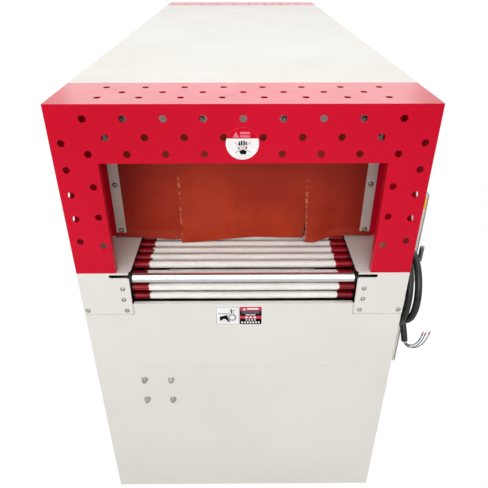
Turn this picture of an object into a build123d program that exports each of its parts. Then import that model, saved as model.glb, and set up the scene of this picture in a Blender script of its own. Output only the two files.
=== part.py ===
"""Heat shrink tunnel: a through-feed hot-air tunnel on a sheet-metal base, with a chain-and-rod
conveyor, slit heat curtains and perforated hand guards at both ends.

Millimetres. X runs across the machine, Y along it (goods go in at -Y and come out at +Y), Z up.
The origin is on the floor, in the middle of the base cabinet."""
from build123d import *
import math
import os

# Overall sizes
WIDTH = 780.0              # cabinet, hood and guards, across
LENGTH = 2090.0            # front guard face to rear guard face
HEIGHT = 1205.0            # floor to hood top
DECK_Z = 811.0             # top of the base cabinet and of its side cover plates
GUARD_DEPTH = 176.0        # each hand guard, along Y
SKIN = 1.5                 # cabinet, hood and guard sheet
PAST = 1.0                 # cutters reach this far beyond what they cut

# Tunnel
MOUTH_HALF = 300.0         # half width of the passage through the tunnel
MOUTH_TOP = 1111.0
MOUTH_PLATE = 2.0
LINER = 1.5
DUCT = 44.0                # hot-air space beside the liner
PLENUM = 38.0              # hot-air space over the liner
AIR_SLOT = (24.0, 160.0)   # slots that let the air up through the deck plates
AIR_SLOTS = 6
AIR_SLOT_MARGIN = 59.0     # hood's end to the first slot's share of the deck
LINER_SLOT = (120.0, 8.0)  # slots that blow the hot air in from both sides
LINER_SLOT_Z = (900.0, 1000.0)
LINER_SLOTS = 8
LINER_SLOT_MARGIN = 67.0
HEATER_D = 10.0
HEATER_GAP = 60.0          # half the gap between the two hairpins of a row
HEATER_MARGIN = 69.0       # hood's end to the bend of a hairpin
HEATER_Z = (850.0, 950.0, 1050.0)
HAIRPIN = (50.0, 24.0)     # leg spacing and bend radius

# Hand guards
GUARD_OPEN_HALF = 298.0
GUARD_OPEN_TOP = 1083.0
GUARD_RETURN = 18.0        # folded lip round the hand opening
HEX_ACROSS = 16.5          # hexagon holes, corner to corner
HEX_PITCH = 79.0           # front face rows
TOP_PITCH = 84.1           # top face rows
FRONT_ROWS = ((1176.0, 9), (1138.0, 8), (1103.0, 9))
TOP_ROWS = ((48.6, 8), (91.5, 7), (134.0, 8))
SIDE_ROWS = ((48.6, (930.0, 990.0)), (91.5, (900.0, 960.0, 1020.0)), (134.0, (930.0, 990.0)))
OUTER_COLUMN = (366.3, (1126.0, 1068.8, 1011.6, 954.4, 897.2))
INNER_COLUMN = (316.0, (1030.5, 958.3, 886.1))

# Heat curtains and their clamp strips
CURTAIN = 3.0
CURTAIN_HALF = 332.0
CURTAIN_TOP = 1140.0
CURTAIN_BOTTOM = 802.6
CURTAIN_CLEAR = 1.0        # to the deck cover plates
FLAP_HALF = 160.0
FLAP_HINGE_Z = 960.0
FLAP_GAP = 1.0
FLAP_FOLD = 3.0            # room for the fold at the top of the flap
STRIP = (25.0, 3.0)
STRIP_X = 317.5
STRIP_BOTTOM = 824.0
STRIP_TOP_Z = 1112.5
STRIP_SCREW_Z = (832.0, 960.0, 1089.0)
STRIP_SCREW_X = (95.0, 281.0)

# Conveyor
ROD_PITCH = 31.75          # a rod on every second pin of a 15.875 mm chain
TEETH = 16
PITCH_R = ROD_PITCH / 2 / (2 * math.sin(math.pi / TEETH))
TURN = 360.0 * 2 / TEETH   # sprocket turn for one rod pitch
NOSE_Z = 751.7             # sprocket centre
NOSE_RODS = TEETH // 4     # rods on the half turn of a sprocket
PHASE = 6.7                # first rod of the top run, past the sprocket centre
CORE_D = 10.0
CORE_HALF = 270.0
TUBE_D = 17.0
TUBE_HALF = 267.0
SLEEVE_WALL = 0.4
SLEEVE_HALF = 234.0
CHAIN_W = 12.0
CHAIN_H = 13.0
CHAIN_PLATE = 2.0
CHAIN_ROOF = 4.0           # outer part of the chain, over the sprocket teeth
CHAIN_GAP = 1.5            # each end of a stretch of chain, to the next stretch
SHAFT_D = 20.0
RUNNING = 0.05             # radial running clearance
SHAFT_END = 4.0            # shaft past its bearing
SPROCKET_W = 5.0
TOOTH_TIP = 1.8
TOOTH_ROOT = 5.0
TOOTH_SHAPE = (-0.38, -0.12, 0.12, 0.38)   # root, tip, tip and root, in shares of a tooth
HUB = (8.0, 3.0)           # hub past the bore, and past the toothed disc
RAIL_X = 284.0
RAIL = 3.0
RAIL_BOTTOM = 690.0
RAIL_FLANGE = 25.0
RAIL_START = 35.0          # rail end, from the end face
RAIL_BORE_CLEAR = 3.0      # round the shaft where it goes through the rail
WEAR = (12.0, 9.0)
WEAR_START = 50.0          # strip end, past the sprocket centre
WEAR_CLEAR = 0.5           # under the chain
BEARING = (64.0, 18.0)
BEARING_FLANGE = (50.0, 6.0)
BEARING_BODY_R = 24.0

# Transfer rollers, one at each end of the conveyor
ROLLER_D = 23.0
ROLLER_HALF = 263.0
ROLLER_Y = 12.3
ROLLER_Z = 790.4
ROLLER_CHAMFER = 1.0
ROLLER_CLEAR = 0.72        # between the roller and the rods that pass it
STUB_D = 9.0
BRACKET_X = 296.0
BRACKET = 3.0
BRACKET_Z = (722.0, 778.0, 800.0)          # bottom, top of the foot, top of the leg
BRACKET_BACK = 30.0
BRACKET_FOOT = 20.0
BRACKET_SCREWS = ((288.0, 765.0), (289.0, 734.0))

# Base cabinet
OPEN_HALF = 270.0          # conveyor opening in the end panels
LIP_Z = 720.0
NOTCH = (316.0, 797.0, 806.0)              # slot for the roller stub: end, bottom and top
NOTCH_R = 6.0              # rounding of the corner under the slot
COVER_BOTTOM = 690.0
COVER_CORNER_R = 5.0
COVER_SCREWS = ((380.0, 701.0), (285.0, 701.0))
COVER_SCREW = 6.0          # length under the head
PAN_HEAD = (4.8, 2.6, 1.6)                 # radius, height and rounding
CROSS_RECESS = (6.0, 1.2, 1.4)             # across, wide and deep
SCREW_END = 3.0            # screw past the sheets that it holds
PLATE = 2.0
PLATE_INNER = 266.0
PLATE_CORNER_R = 14.0
SEAM = (314.0, 512.0, 1.6, 0.7)
SCREW_R = 2.5
ANGLE = (40.0, 4.0)
CROSSMEMBERS = (0.25, 0.6)                 # their places, in shares of half the length
FLOOR_BAR = 60.0
TRAY = (284.0, 150.0, 1.5)                 # half width, back edge and sheet of a drip tray
TRAY_RIM = (268.0, 718.0)                  # half width and top of its front rim

# Drive
MOTOR_X = -230.5
MOTOR_Z = 428.2
MOTOR_BOLTS = (71.0, 75.6)
MOTOR_BODY_D = 112.0
MOTOR_BODY = (190.0, 10.0, 1.0)            # length, and the length and rise of its flange
TERMINAL_BOX = ((60.0, 130.0), 30.0, 82.0) # along the motor, half width and height
MOTOR_PLATE = 8.0
PLATE_RIM = (2.0, 58.0)                    # plate past the gearbox, and half its height
GEARBOX = (112.0, 96.0, 104.0)
GEARBOX_R = 8.0
SHAFT_SOCKET = 40.0
DRIVE_X = -332.0
DRIVE_SHAFT_END = 8.0
DRIVE_WHEEL = (1.5, 4.0)                   # tooth tip and width
DRIVE_CHAIN = (9.0, 1.5)                   # width and side plate
DRIVE_CHAIN_HALF = (5.0, 2.5)              # half height, and half that of its channel
DRIVE_PITCH = 12.7
DRIVE_TEETH = (14, 20)
DRIVE_SHAFT_D = 18.0
BOLT_D = 8.0
NUT = (13.0, 6.5)
WASHER = (17.0, 1.6)
NUT_TURN = 12.0            # degrees that the nuts stopped at
STUD_END = 5.0
STUD_IN = 12.0             # thread inside the gearbox

# Air circulation
FAN_HOUSING_R = 190.0
FAN_HOUSING = (440.0, 625.0)
FAN_R = 150.0
FAN_BLADES = 12
FAN_SHAFT_D = 16.0
FAN_MOTOR = (70.0, 250.0)  # radius and bottom
FAN_WALL = 2.0
FAN_RIM = (14.0, 1.0)      # flange past the housing, and its inner step
FAN_SHAFT_CLEAR = 4.0
FAN_SHAFT_IN = 60.0        # shaft inside the motor
FAN_PLATE = (40.0, 3.0)    # back plate of the wheel, over the housing's floor
FAN_HUB = (26.0, 30.0, 70.0)
FAN_BLADE = (64.0, 3.0, 70.0, 35.0)        # long, thick, high, and its angle
FAN_BLADE_IN = 36.0
FAN_TERMINALS = ((60.0, 96.0), 28.0, (60.0, 130.0))

# Control box on the right side
BOX_DEPTH = 131.0
BOX_Y = 292.0              # its front face, from the front end face
BOX_LENGTH = 480.0
BOX_Z = (247.0, 872.0)
BOX_SHEET = 1.5
DOOR_GAP = 2.0
DOOR_HANDLE = (16.0, 7.0, (520.0, 600.0), 22.0)        # out, half width, Z and place in from the edge
DOOR_HANDLE_GRIP = (8.0, (536.0, 584.0))
HINGE_R = 5.0
HINGE_PIN_R = 2.5
HINGE_LENGTH = 60.0
HINGE_CLEAR = 0.4
HINGE_LEAF = 2.0
LEAF_REACH = 24.0
HINGE_SPLIT = 0.5          # between the two halves of a barrel
HINGE_INSET = (110.0, 90.0)                # hinge places in from each door's top and bottom
ISOLATOR = (0.0, 800.0, 28.0)
ESTOP = (-150.0, 800.0, 20.0)
START = (-80.0, 800.0, 11.0)
KNOB = (100.0, 800.0, 15.0)
PLUG_CLEAR = 0.4
FACE_GAP = 0.5             # between the door and the knobs that turn on it
STEM_R = (9.0, 4.0)        # stems of the large and the small controls
STEM_IN = (20.0, 25.0, 20.0, 15.0)         # isolator, stop, start and speed
ISOLATOR_DISC = 10.0
ISOLATOR_GRIP = (6.0, 9.0, 30.0, 3.0)      # half width, from, to, and in from the rim
ESTOP_HEAD = (12.0, 26.0, 5.0)
START_HEAD = (8.0, 2.0)
KNOB_HEIGHT = 17.0
KNOB_MARK = (2.0, 16.0, 19.0, 1.0)

# Service door in the left side of the base
SERVICE_Y = (130.0, 630.0)
SERVICE_Z = (170.0, 650.0)
SERVICE_LIP = 10.0         # door past its opening
LOCK = (11.0, 6.0, 24.0)   # radius, height and place in from the edge

# Mains cable, hung up on a hook beside the control box
CABLE_D = 19.0
COIL_Y = 182.0
COIL_R = 103.0
COIL_BAND = 29.0
COIL_Z = (620.0, 665.0)
COIL_OUT = (12.0, 80.0)    # inner and outer face of the coil, from the side panel
GLAND_R = 15.0
GLAND_NUT = (17.0, 8.0)
GLAND_COLLAR = (12.0, 2.0)
HOOK_D = 12.0
HOOK_PAST = 14.0           # hook's upright, past the coil
HOOK_UP = 38.0
HOOK_PLATE = (4.0, 20.0, (30.0, 20.0))     # sheet, half width, and reach under and over the arm
HOOK_GAP = 0.3
LEAD_ROUTE = ((26.0, 257.0, 526.5), (26.0, 240.0, 526.5), (26.5, 223.0, 527.0), (27.5, 206.0, 528.5))
TAIL_ROUTE = ((71.0, 232.0, 548.0), (82.0, 203.0, 517.0), (91.0, 181.0, 484.0), (96.0, 170.0, 447.0))
CORE_ROUTE = ((0.0, 0.0, 0.0), (6.0, -2.0, -17.0), (27.0, -4.0, -19.0), (42.0, -5.0, -1.0),
              (45.0, -6.0, 22.0))
CORE_LONGER = 0.12         # each conductor, against the one before it
CORE_CIRCLE = 4.0
WIRE_D = 3.0
WIRE_COUNT = 4
BEND_SHARE = 0.45          # of the shorter run, used by each bend of a cable

HALF_W = WIDTH / 2
END_Y = LENGTH / 2
TUBE_R = TUBE_D / 2
ROD_TO_ROLLER = PITCH_R + TUBE_R + SLEEVE_WALL + ROLLER_D / 2 + ROLLER_CLEAR
NOSE_Y = round(ROLLER_Y + math.sqrt(ROD_TO_ROLLER ** 2 - (ROLLER_Z - NOSE_Z) ** 2), 1)
RUN_PITCHES = int((LENGTH - 2 * NOSE_Y) / ROD_PITCH)
REAR_NOSE_Y = NOSE_Y + RUN_PITCHES * ROD_PITCH
SKIN_Y = SKIN              # end panels stand behind the corner covers
CURTAIN_Y = GUARD_DEPTH - CURTAIN
DRIVE_R = tuple(DRIVE_PITCH / 2 / math.sin(math.pi / n) for n in DRIVE_TEETH)
MOTOR_Y = NOSE_Y
DOOR_X = HALF_W + BOX_DEPTH
COIL_X = (HALF_W + COIL_OUT[0], HALF_W + COIL_OUT[1])
BOX_MID_Y = BOX_Y + BOX_LENGTH / 2


def at(distance):
    """Y of a place that is this far behind the front end face."""
    return -END_Y + distance


def slab(x, y, z):
    """A box between two corners, each argument being a (low, high) pair."""
    size = [high - low for low, high in (x, y, z)]
    middle = [(low + high) / 2 for low, high in (x, y, z)]
    return Pos(*middle) * Box(*size)


def rod(radius, low, high, y, z):
    """A round bar along X."""
    return Pos((low + high) / 2, y, z) * Rot(0, 90, 0) * Cylinder(radius, high - low)


def peg(radius, x, low, high, z):
    """A round bar along Y."""
    return Pos(x, (low + high) / 2, z) * Rot(90, 0, 0) * Cylinder(radius, high - low)


def post(radius, x, y, low, high):
    """A round bar along Z."""
    return Pos(x, y, (low + high) / 2) * Cylinder(radius, high - low)


def sheet_xz(outline, y, thickness):
    """An upright sheet across the machine, from y to y + thickness."""
    return Plane((0, y + thickness, 0), x_dir=(1, 0, 0), z_dir=(0, -1, 0)) * extrude(outline, thickness)


def sheet_yz(outline, x, thickness):
    """An upright sheet along the machine, from x to x + thickness."""
    return Plane((x, 0, 0), x_dir=(0, 1, 0), z_dir=(1, 0, 0)) * extrude(outline, thickness)


def area(low_u, high_u, low_v, high_v):
    return Pos((low_u + high_u) / 2, (low_v + high_v) / 2) * Rectangle(high_u - low_u, high_v - low_v)


def other_side(shape):
    return mirror(shape, about=Plane.YZ)


def other_end(shape):
    return mirror(shape, about=Plane.XZ)


def all_corners(shape):
    right = [shape, other_end(shape)]
    return right + [other_side(s) for s in right]


def save(name, *shapes):
    solids = [solid for shape in shapes for solid in shape.solids()]
    node = Compound(label=name, children=solids) if len(solids) > 1 else solids[0]
    export_step(node, f"parts/{name}.step")


# ---------------------------------------------------------------- base cabinet

def angle_x(y, z, sign_y, sign_z, half):
    leg, wall = ANGLE
    flat = slab((-half, half), sorted((y, y + sign_y * leg)), sorted((z, z + sign_z * wall)))
    upright = slab((-half, half), sorted((y, y + sign_y * wall)), sorted((z, z + sign_z * leg)))
    return flat + upright


def base_frame():
    """Angle-iron frame inside the cabinet: posts, side rails, crossmembers and a floor bar."""
    leg, wall = ANGLE
    inner_x = HALF_W - SKIN
    inner_y = END_Y - SKIN_Y - SKIN
    top = RAIL_BOTTOM
    corner = slab((inner_x - leg, inner_x), (-inner_y, -inner_y + wall), (0, top))
    corner += slab((inner_x - wall, inner_x), (-inner_y, -inner_y + leg), (0, top))
    frame = corner + other_side(corner) + other_end(corner) + other_end(other_side(corner))
    side = slab((inner_x - wall, inner_x), (-inner_y, inner_y), (0, leg))
    side += slab((inner_x - wall, inner_x), (-inner_y, inner_y), (top - leg, top))
    frame += side + other_side(side)
    ends = angle_x(-inner_y, 0, 1, 1, inner_x)
    frame += ends + other_end(ends)
    for share in CROSSMEMBERS:
        frame += angle_x(-share * END_Y, top, 1, -1, inner_x)
        frame += angle_x(share * END_Y, top, 1, -1, inner_x)
    for y in (-FAN_MOTOR[0], FAN_MOTOR[0] - leg):
        frame += angle_x(y, FAN_MOTOR[1], 1, -1, inner_x)
    for x in (-inner_x, inner_x - wall):
        frame += slab((x, x + wall), (-FAN_MOTOR[0], FAN_MOTOR[0]), (0, FAN_MOTOR[1]))
    frame += slab((-inner_x, inner_x), (-FLOOR_BAR / 2, FLOOR_BAR / 2), (0, wall))
    save("base_frame", frame)


def end_opening():
    notch_x, notch_low, _ = NOTCH
    return (area(-OPEN_HALF, OPEN_HALF, LIP_Z, DECK_Z)
            + area(-notch_x - BRACKET, notch_x + BRACKET, notch_low - BRACKET, DECK_Z))


def end_panel():
    """Full-width end skin with the conveyor opening."""
    outline = area(-HALF_W, HALF_W, 0, DECK_Z) - end_opening()
    panel = sheet_xz(outline, at(SKIN_Y), SKIN)
    for x, z in COVER_SCREWS + BRACKET_SCREWS:
        for side in (-1, 1):
            panel -= peg(SCREW_R + PLUG_CLEAR, side * x, at(0), at(SKIN_Y + SKIN + PAST), z)
    return panel


def motor_bolt_places():
    wide, high = MOTOR_BOLTS
    return [(MOTOR_X + i * wide / 2, MOTOR_Z + j * high / 2) for i in (-1, 1) for j in (-1, 1)]


def end_panels():
    front = end_panel()
    half, z, wide, deep = SEAM
    front -= slab((-half, half), (at(SKIN_Y), at(SKIN_Y + deep)), (z - wide / 2, z + wide / 2))
    for x, z in motor_bolt_places():
        front -= peg(BOLT_D / 2 + PLUG_CLEAR, x, at(0), at(SKIN_Y + SKIN + PAST), z)
    save("front_panel", front)
    save("rear_panel", other_end(end_panel()))


def drip_trays():
    """Dark tray under each nose of the conveyor, with a rim against the end panel."""
    half, back, thick = TRAY
    rim_half, rim_top = TRAY_RIM
    low_y = SKIN_Y + SKIN
    tray = slab((-half, half), (at(low_y), at(back)), (RAIL_BOTTOM, RAIL_BOTTOM + thick))
    tray += slab((-rim_half, rim_half), (at(low_y), at(low_y + thick)), (RAIL_BOTTOM, rim_top))
    save("drip_trays", tray, other_end(tray))


def side_panels():
    """Side skins of the base; the left one has the service opening."""
    inner_y = END_Y - SKIN_Y - SKIN
    outline = area(-inner_y, inner_y, 0, DECK_Z - PLATE)
    right = sheet_yz(outline, HALF_W - SKIN, SKIN)
    lip = SERVICE_LIP
    opening = area(at(SERVICE_Y[0] + lip), at(SERVICE_Y[1] - lip), SERVICE_Z[0] + lip, SERVICE_Z[1] - lip)
    left = sheet_yz(outline - opening, -HALF_W, SKIN)
    save("side_base_panels", left, right)


def deck_plates():
    """Flat cover plates over the chains, both sides, full length, with air slots in the tunnel."""
    end = END_Y - SKIN_Y - SKIN
    outline = Pos((PLATE_INNER + HALF_W) / 2, 0) * Rectangle(HALF_W - PLATE_INNER, 2 * end)
    corners = [v for v in outline.vertices() if v.X < HALF_W - 1]
    outline = fillet(corners, PLATE_CORNER_R)
    slot_x = MOUTH_HALF + LINER + DUCT / 2
    pitch = 2 * (END_Y - GUARD_DEPTH - AIR_SLOT_MARGIN) / AIR_SLOTS
    for y in row(AIR_SLOTS, pitch):
        outline -= Pos(slot_x, y) * SlotOverall(AIR_SLOT[1], AIR_SLOT[0], rotation=90)
    right = Pos(0, 0, DECK_Z - PLATE) * extrude(outline, PLATE)
    save("side_cover_plates", right, other_side(right))


def corner_covers():
    notch_x, notch_low, notch_high = NOTCH
    outline = area(OPEN_HALF, HALF_W, COVER_BOTTOM, DECK_Z)
    low_corner = [v for v in outline.vertices() if v.X < HALF_W - 1 and v.Y < DECK_Z - 1]
    outline = fillet(low_corner, COVER_CORNER_R)
    under_notch = area(OPEN_HALF - PAST, OPEN_HALF + NOTCH_R, notch_low - NOTCH_R, notch_low)
    under_notch -= Pos(OPEN_HALF + NOTCH_R, notch_low - NOTCH_R) * Circle(NOTCH_R)
    outline -= under_notch
    end_r = (notch_high - notch_low) / 2
    outline -= area(OPEN_HALF - PAST, notch_x - end_r, notch_low, notch_high)
    outline -= Pos(notch_x - end_r, notch_low + end_r) * Circle(end_r)
    cover = sheet_xz(outline, at(0), SKIN)
    for x, z in COVER_SCREWS + BRACKET_SCREWS:
        cover -= peg(SCREW_R + PLUG_CLEAR, x, at(-PAST), at(SKIN + PAST), z)
    save("corner_covers", *all_corners(cover))


def pan_screw(x, y, z, length):
    """Pan-head screw driven along +Y from the face at y."""
    radius, height, rounding = PAN_HEAD
    head = peg(radius, x, y - height, y, z)
    rim = head.edges().filter_by(GeomType.CIRCLE).sort_by(Axis.Y)[0]
    head = fillet(rim, rounding)
    long, wide, deep = CROSS_RECESS
    cut_y = (y - height - PAST, y - height + deep)
    recess = slab((x - wide / 2, x + wide / 2), cut_y, (z - long / 2, z + long / 2))
    recess += slab((x - long / 2, x + long / 2), cut_y, (z - wide / 2, z + wide / 2))
    return head - recess + peg(SCREW_R, x, y, y + length, z)


def pan_head_screws():
    screws = [pan_screw(x, at(0), z, COVER_SCREW) for x, z in COVER_SCREWS + BRACKET_SCREWS]
    strip_y = at(CURTAIN_Y - STRIP[1])
    length = STRIP[1] + CURTAIN + MOUTH_PLATE + SCREW_END
    screws += [pan_screw(STRIP_X, strip_y, z, length) for z in STRIP_SCREW_Z]
    screws += [pan_screw(x, strip_y, STRIP_TOP_Z + STRIP[0] / 2, length) for x in STRIP_SCREW_X]
    save("pan_head_screws", *[s for screw in screws for s in all_corners(screw)])


# ---------------------------------------------------------------- hood and tunnel

def screw_holes(shape):
    """Cut the clamp-strip screw holes, at both ends and on both sides."""
    low, high = at(CURTAIN_Y - STRIP[1] - PAST), at(GUARD_DEPTH + MOUTH_PLATE + PAST)
    places = [(STRIP_X, z) for z in STRIP_SCREW_Z]
    places += [(x, STRIP_TOP_Z + STRIP[0] / 2) for x in STRIP_SCREW_X]
    for x, z in places:
        for side in (-1, 1):
            shape -= peg(SCREW_R, side * x, low, high, z)
    return shape


def hood():
    hood_y = END_Y - GUARD_DEPTH
    outer = slab((-HALF_W, HALF_W), (-hood_y, hood_y), (DECK_Z, HEIGHT))
    inner_y = hood_y + PAST
    inner = slab((-HALF_W + SKIN, HALF_W - SKIN), (-inner_y, inner_y), (DECK_Z - PAST, HEIGHT - SKIN))
    save("hood_shell", outer - inner)
    outline = area(-HALF_W + SKIN, HALF_W - SKIN, DECK_Z, HEIGHT - SKIN)
    outline -= area(-MOUTH_HALF, MOUTH_HALF, DECK_Z, MOUTH_TOP)
    mouth = screw_holes(sheet_xz(outline, at(GUARD_DEPTH), MOUTH_PLATE))
    save("mouth_plates", mouth, other_end(mouth))


def tunnel_liner():
    half_y = END_Y - GUARD_DEPTH - MOUTH_PLATE
    out = MOUTH_HALF + LINER
    outer = slab((-out, out), (-half_y, half_y), (DECK_Z, MOUTH_TOP + LINER))
    inner = slab((-MOUTH_HALF, MOUTH_HALF), (-half_y - PAST, half_y + PAST), (DECK_Z - PAST, MOUTH_TOP))
    liner = outer - inner
    long, high = LINER_SLOT
    pitch = 2 * (half_y - LINER_SLOT_MARGIN) / LINER_SLOTS
    slots = [slab((-out - PAST, out + PAST), (y - long / 2, y + long / 2), (z - high / 2, z + high / 2))
             for z in LINER_SLOT_Z for y in row(LINER_SLOTS, pitch)]
    save("tunnel_liner", liner - slots)


def insulation():
    """Mineral-wool slabs against the hood's skin."""
    half_y = END_Y - GUARD_DEPTH - MOUTH_PLATE
    inner_x = HALF_W - SKIN
    low_x = MOUTH_HALF + LINER + DUCT
    low_z = MOUTH_TOP + LINER + PLENUM
    side = slab((low_x, inner_x), (-half_y, half_y), (DECK_Z, low_z))
    top = slab((-inner_x, inner_x), (-half_y, half_y), (low_z, HEIGHT - SKIN))
    save("insulation", side, other_side(side), top)


def heater_tubes():
    """Hairpin tubular heaters standing in the air ducts beside the tunnel."""
    x = MOUTH_HALF + LINER + DUCT / 2
    far = END_Y - GUARD_DEPTH - HEATER_MARGIN
    spacing, bend = HAIRPIN
    hairpins = []
    for low, high in ((-far, -HEATER_GAP), (HEATER_GAP, far)):
        for z in HEATER_Z:
            points = [(x, low, z), (x, high, z), (x, high, z + spacing), (x, low, z + spacing)]
            path = FilletPolyline(*points, radius=bend)
            section = Plane(path @ 0, z_dir=path % 0) * Circle(HEATER_D / 2)
            hairpins.append(sweep(section, path))
    save("heater_tubes", *hairpins, *[other_side(h) for h in hairpins])


# ---------------------------------------------------------------- hand guards

def hexagon(u, v):
    return Pos(u, v) * RegularPolygon(HEX_ACROSS / 2, 6)


def row(count, pitch):
    return [(i - (count - 1) / 2) * pitch for i in range(count)]


def guard():
    """Folded sheet hood over the infeed: front, top and sides, all perforated, open below."""
    front = area(-HALF_W, HALF_W, DECK_Z, HEIGHT)
    front -= area(-GUARD_OPEN_HALF, GUARD_OPEN_HALF, DECK_Z, GUARD_OPEN_TOP)
    for z, count in FRONT_ROWS:
        front -= [hexagon(x, z) for x in row(count, HEX_PITCH)]
    for x, heights in (OUTER_COLUMN, INNER_COLUMN):
        front -= [hexagon(side * x, z) for side in (-1, 1) for z in heights]
    body = sheet_xz(front, at(0), SKIN)
    top = area(-HALF_W, HALF_W, at(SKIN), at(GUARD_DEPTH))
    for y, count in TOP_ROWS:
        top -= [hexagon(x, at(y)) for x in row(count, TOP_PITCH)]
    body += Pos(0, 0, HEIGHT - SKIN) * extrude(top, SKIN)
    side = area(at(SKIN), at(GUARD_DEPTH), DECK_Z, HEIGHT - SKIN)
    for y, heights in SIDE_ROWS:
        side -= [hexagon(at(y), z) for z in heights]
    wall = sheet_yz(side, HALF_W - SKIN, SKIN)
    body += wall + other_side(wall)
    lip_y = (at(SKIN), at(SKIN + GUARD_RETURN))
    lip = slab((GUARD_OPEN_HALF, GUARD_OPEN_HALF + SKIN), lip_y, (DECK_Z, GUARD_OPEN_TOP + SKIN))
    body += lip + other_side(lip)
    body += slab((-GUARD_OPEN_HALF, GUARD_OPEN_HALF), lip_y, (GUARD_OPEN_TOP, GUARD_OPEN_TOP + SKIN))
    return body


def guards():
    front = guard()
    save("front_guard", front)
    save("rear_guard", other_end(front))


# ---------------------------------------------------------------- heat curtains

def curtains():
    """One heat-proof sheet at each mouth, cut so that its middle flap lifts for the goods."""
    outline = area(-CURTAIN_HALF, CURTAIN_HALF, DECK_Z + CURTAIN_CLEAR, CURTAIN_TOP)
    middle = PLATE_INNER - CURTAIN_CLEAR
    outline += area(-middle, middle, CURTAIN_BOTTOM, CURTAIN_TOP)
    cut = FLAP_HALF + FLAP_GAP
    outline -= area(-cut, cut, CURTAIN_BOTTOM, FLAP_HINGE_Z + FLAP_FOLD)
    sheet = screw_holes(sheet_xz(outline, at(CURTAIN_Y), CURTAIN))
    save("front_curtain", sheet)
    save("rear_curtain", other_end(sheet))
    flap = slab((-FLAP_HALF, FLAP_HALF), (at(CURTAIN_Y), at(CURTAIN_Y + CURTAIN)),
                (CURTAIN_BOTTOM, FLAP_HINGE_Z - FLAP_FOLD))
    save("front_flap", flap)
    save("rear_flap", other_end(flap))


def curtain_clamps():
    wide, thick = STRIP
    y = (at(CURTAIN_Y - thick), at(CURTAIN_Y))
    upright = slab((STRIP_X - wide / 2, STRIP_X + wide / 2), y, (STRIP_BOTTOM, STRIP_TOP_Z))
    across = slab((-STRIP_X - wide / 2, STRIP_X + wide / 2), y, (STRIP_TOP_Z, STRIP_TOP_Z + wide))
    front = [screw_holes(s) for s in (upright, other_side(upright), across)]
    save("curtain_clamps", *front, *[other_end(s) for s in front])


# ---------------------------------------------------------------- conveyor

def run_rods(z, first):
    """(y, z) of the rods of one straight run."""
    return [(at(first + i * ROD_PITCH), z) for i in range(RUN_PITCHES)]


def nose_rods(centre, first_angle, step):
    """(y, z) of the rods on a sprocket's half turn; angles from +Y towards +Z."""
    angles = [math.radians(first_angle + i * step) for i in range(NOSE_RODS)]
    return [(at(centre) + PITCH_R * math.cos(a), NOSE_Z + PITCH_R * math.sin(a)) for a in angles]


def rod_cores(places):
    return [rod(CORE_D / 2, -CORE_HALF, CORE_HALF, y, z) for y, z in places]


def hollow_rod(outer, inner, half, y, z):
    return rod(outer, -half, half, y, z) - rod(inner, -half - PAST, half + PAST, y, z)


def tubes(places):
    """Silicone tube over each rod."""
    return [hollow_rod(TUBE_R, CORE_D / 2, TUBE_HALF, y, z) for y, z in places]


def sleeves(places):
    """Thin woven sleeve over the middle of each silicone tube."""
    return [hollow_rod(TUBE_R + SLEEVE_WALL, TUBE_R, SLEEVE_HALF, y, z) for y, z in places]


def straight_chain(first, last, z, outward):
    """Both chains of a run, open towards the sprockets; outward is +1 over them, -1 under."""
    y = (at(first - ROD_PITCH / 2 + CHAIN_GAP), at(last + ROD_PITCH / 2 - CHAIN_GAP))
    half = CHAIN_H / 2
    strand = slab((CORE_HALF, CORE_HALF + CHAIN_W), y, (z - half, z + half))
    groove = sorted((z - outward * (half + PAST), z + outward * (half - CHAIN_ROOF)))
    groove_x = (CORE_HALF + CHAIN_PLATE, CORE_HALF + CHAIN_W - CHAIN_PLATE)
    strand -= slab(groove_x, (y[0] - PAST, y[1] + PAST), groove)
    return [strand, other_side(strand)]


def wrapped_chain(centre, low_angle, high_angle):
    """Both chains where they wrap a pair of sprockets."""
    gap = math.degrees(CHAIN_GAP / PITCH_R)
    half_step = TURN / 2 - gap
    y, z = at(centre), NOSE_Z
    half = CHAIN_H / 2
    x_low, x_high = CORE_HALF, CORE_HALF + CHAIN_W
    ring = rod(PITCH_R + half, x_low, x_high, y, z) - rod(PITCH_R - half, x_low - PAST, x_high + PAST, y, z)
    ring -= rod(PITCH_R + half - CHAIN_ROOF, x_low + CHAIN_PLATE, x_high - CHAIN_PLATE, y, z)
    start, stop = low_angle - half_step, high_angle + half_step
    wedge_steps = 8
    reach = 3 * PITCH_R
    fan = [(y, z)]
    for i in range(wedge_steps + 1):
        a = math.radians(start + (stop - start) * i / wedge_steps)
        fan.append((y + reach * math.cos(a), z + reach * math.sin(a)))
    wedge = sheet_yz(make_face(Polyline(*fan, close=True)), x_low - PAST, CHAIN_W + 2 * PAST)
    piece = ring & wedge
    return [piece, other_side(piece)]


def conveyor_runs():
    top_z, bottom_z = NOSE_Z + PITCH_R, NOSE_Z - PITCH_R
    top_first = NOSE_Y + PHASE
    bottom_first = NOSE_Y + ROD_PITCH - PHASE
    reach = (RUN_PITCHES - 1) * ROD_PITCH
    top, bottom = run_rods(top_z, top_first), run_rods(bottom_z, bottom_first)
    save("top_run_chain", *rod_cores(top), *straight_chain(top_first, top_first + reach, top_z, 1))
    save("top_run_tubes", *tubes(top))
    save("top_run_sleeves", *sleeves(top))
    save("bottom_run_chain", *rod_cores(bottom),
         *straight_chain(bottom_first, bottom_first + reach, bottom_z, -1))
    save("bottom_run_tubes", *tubes(bottom))


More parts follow.
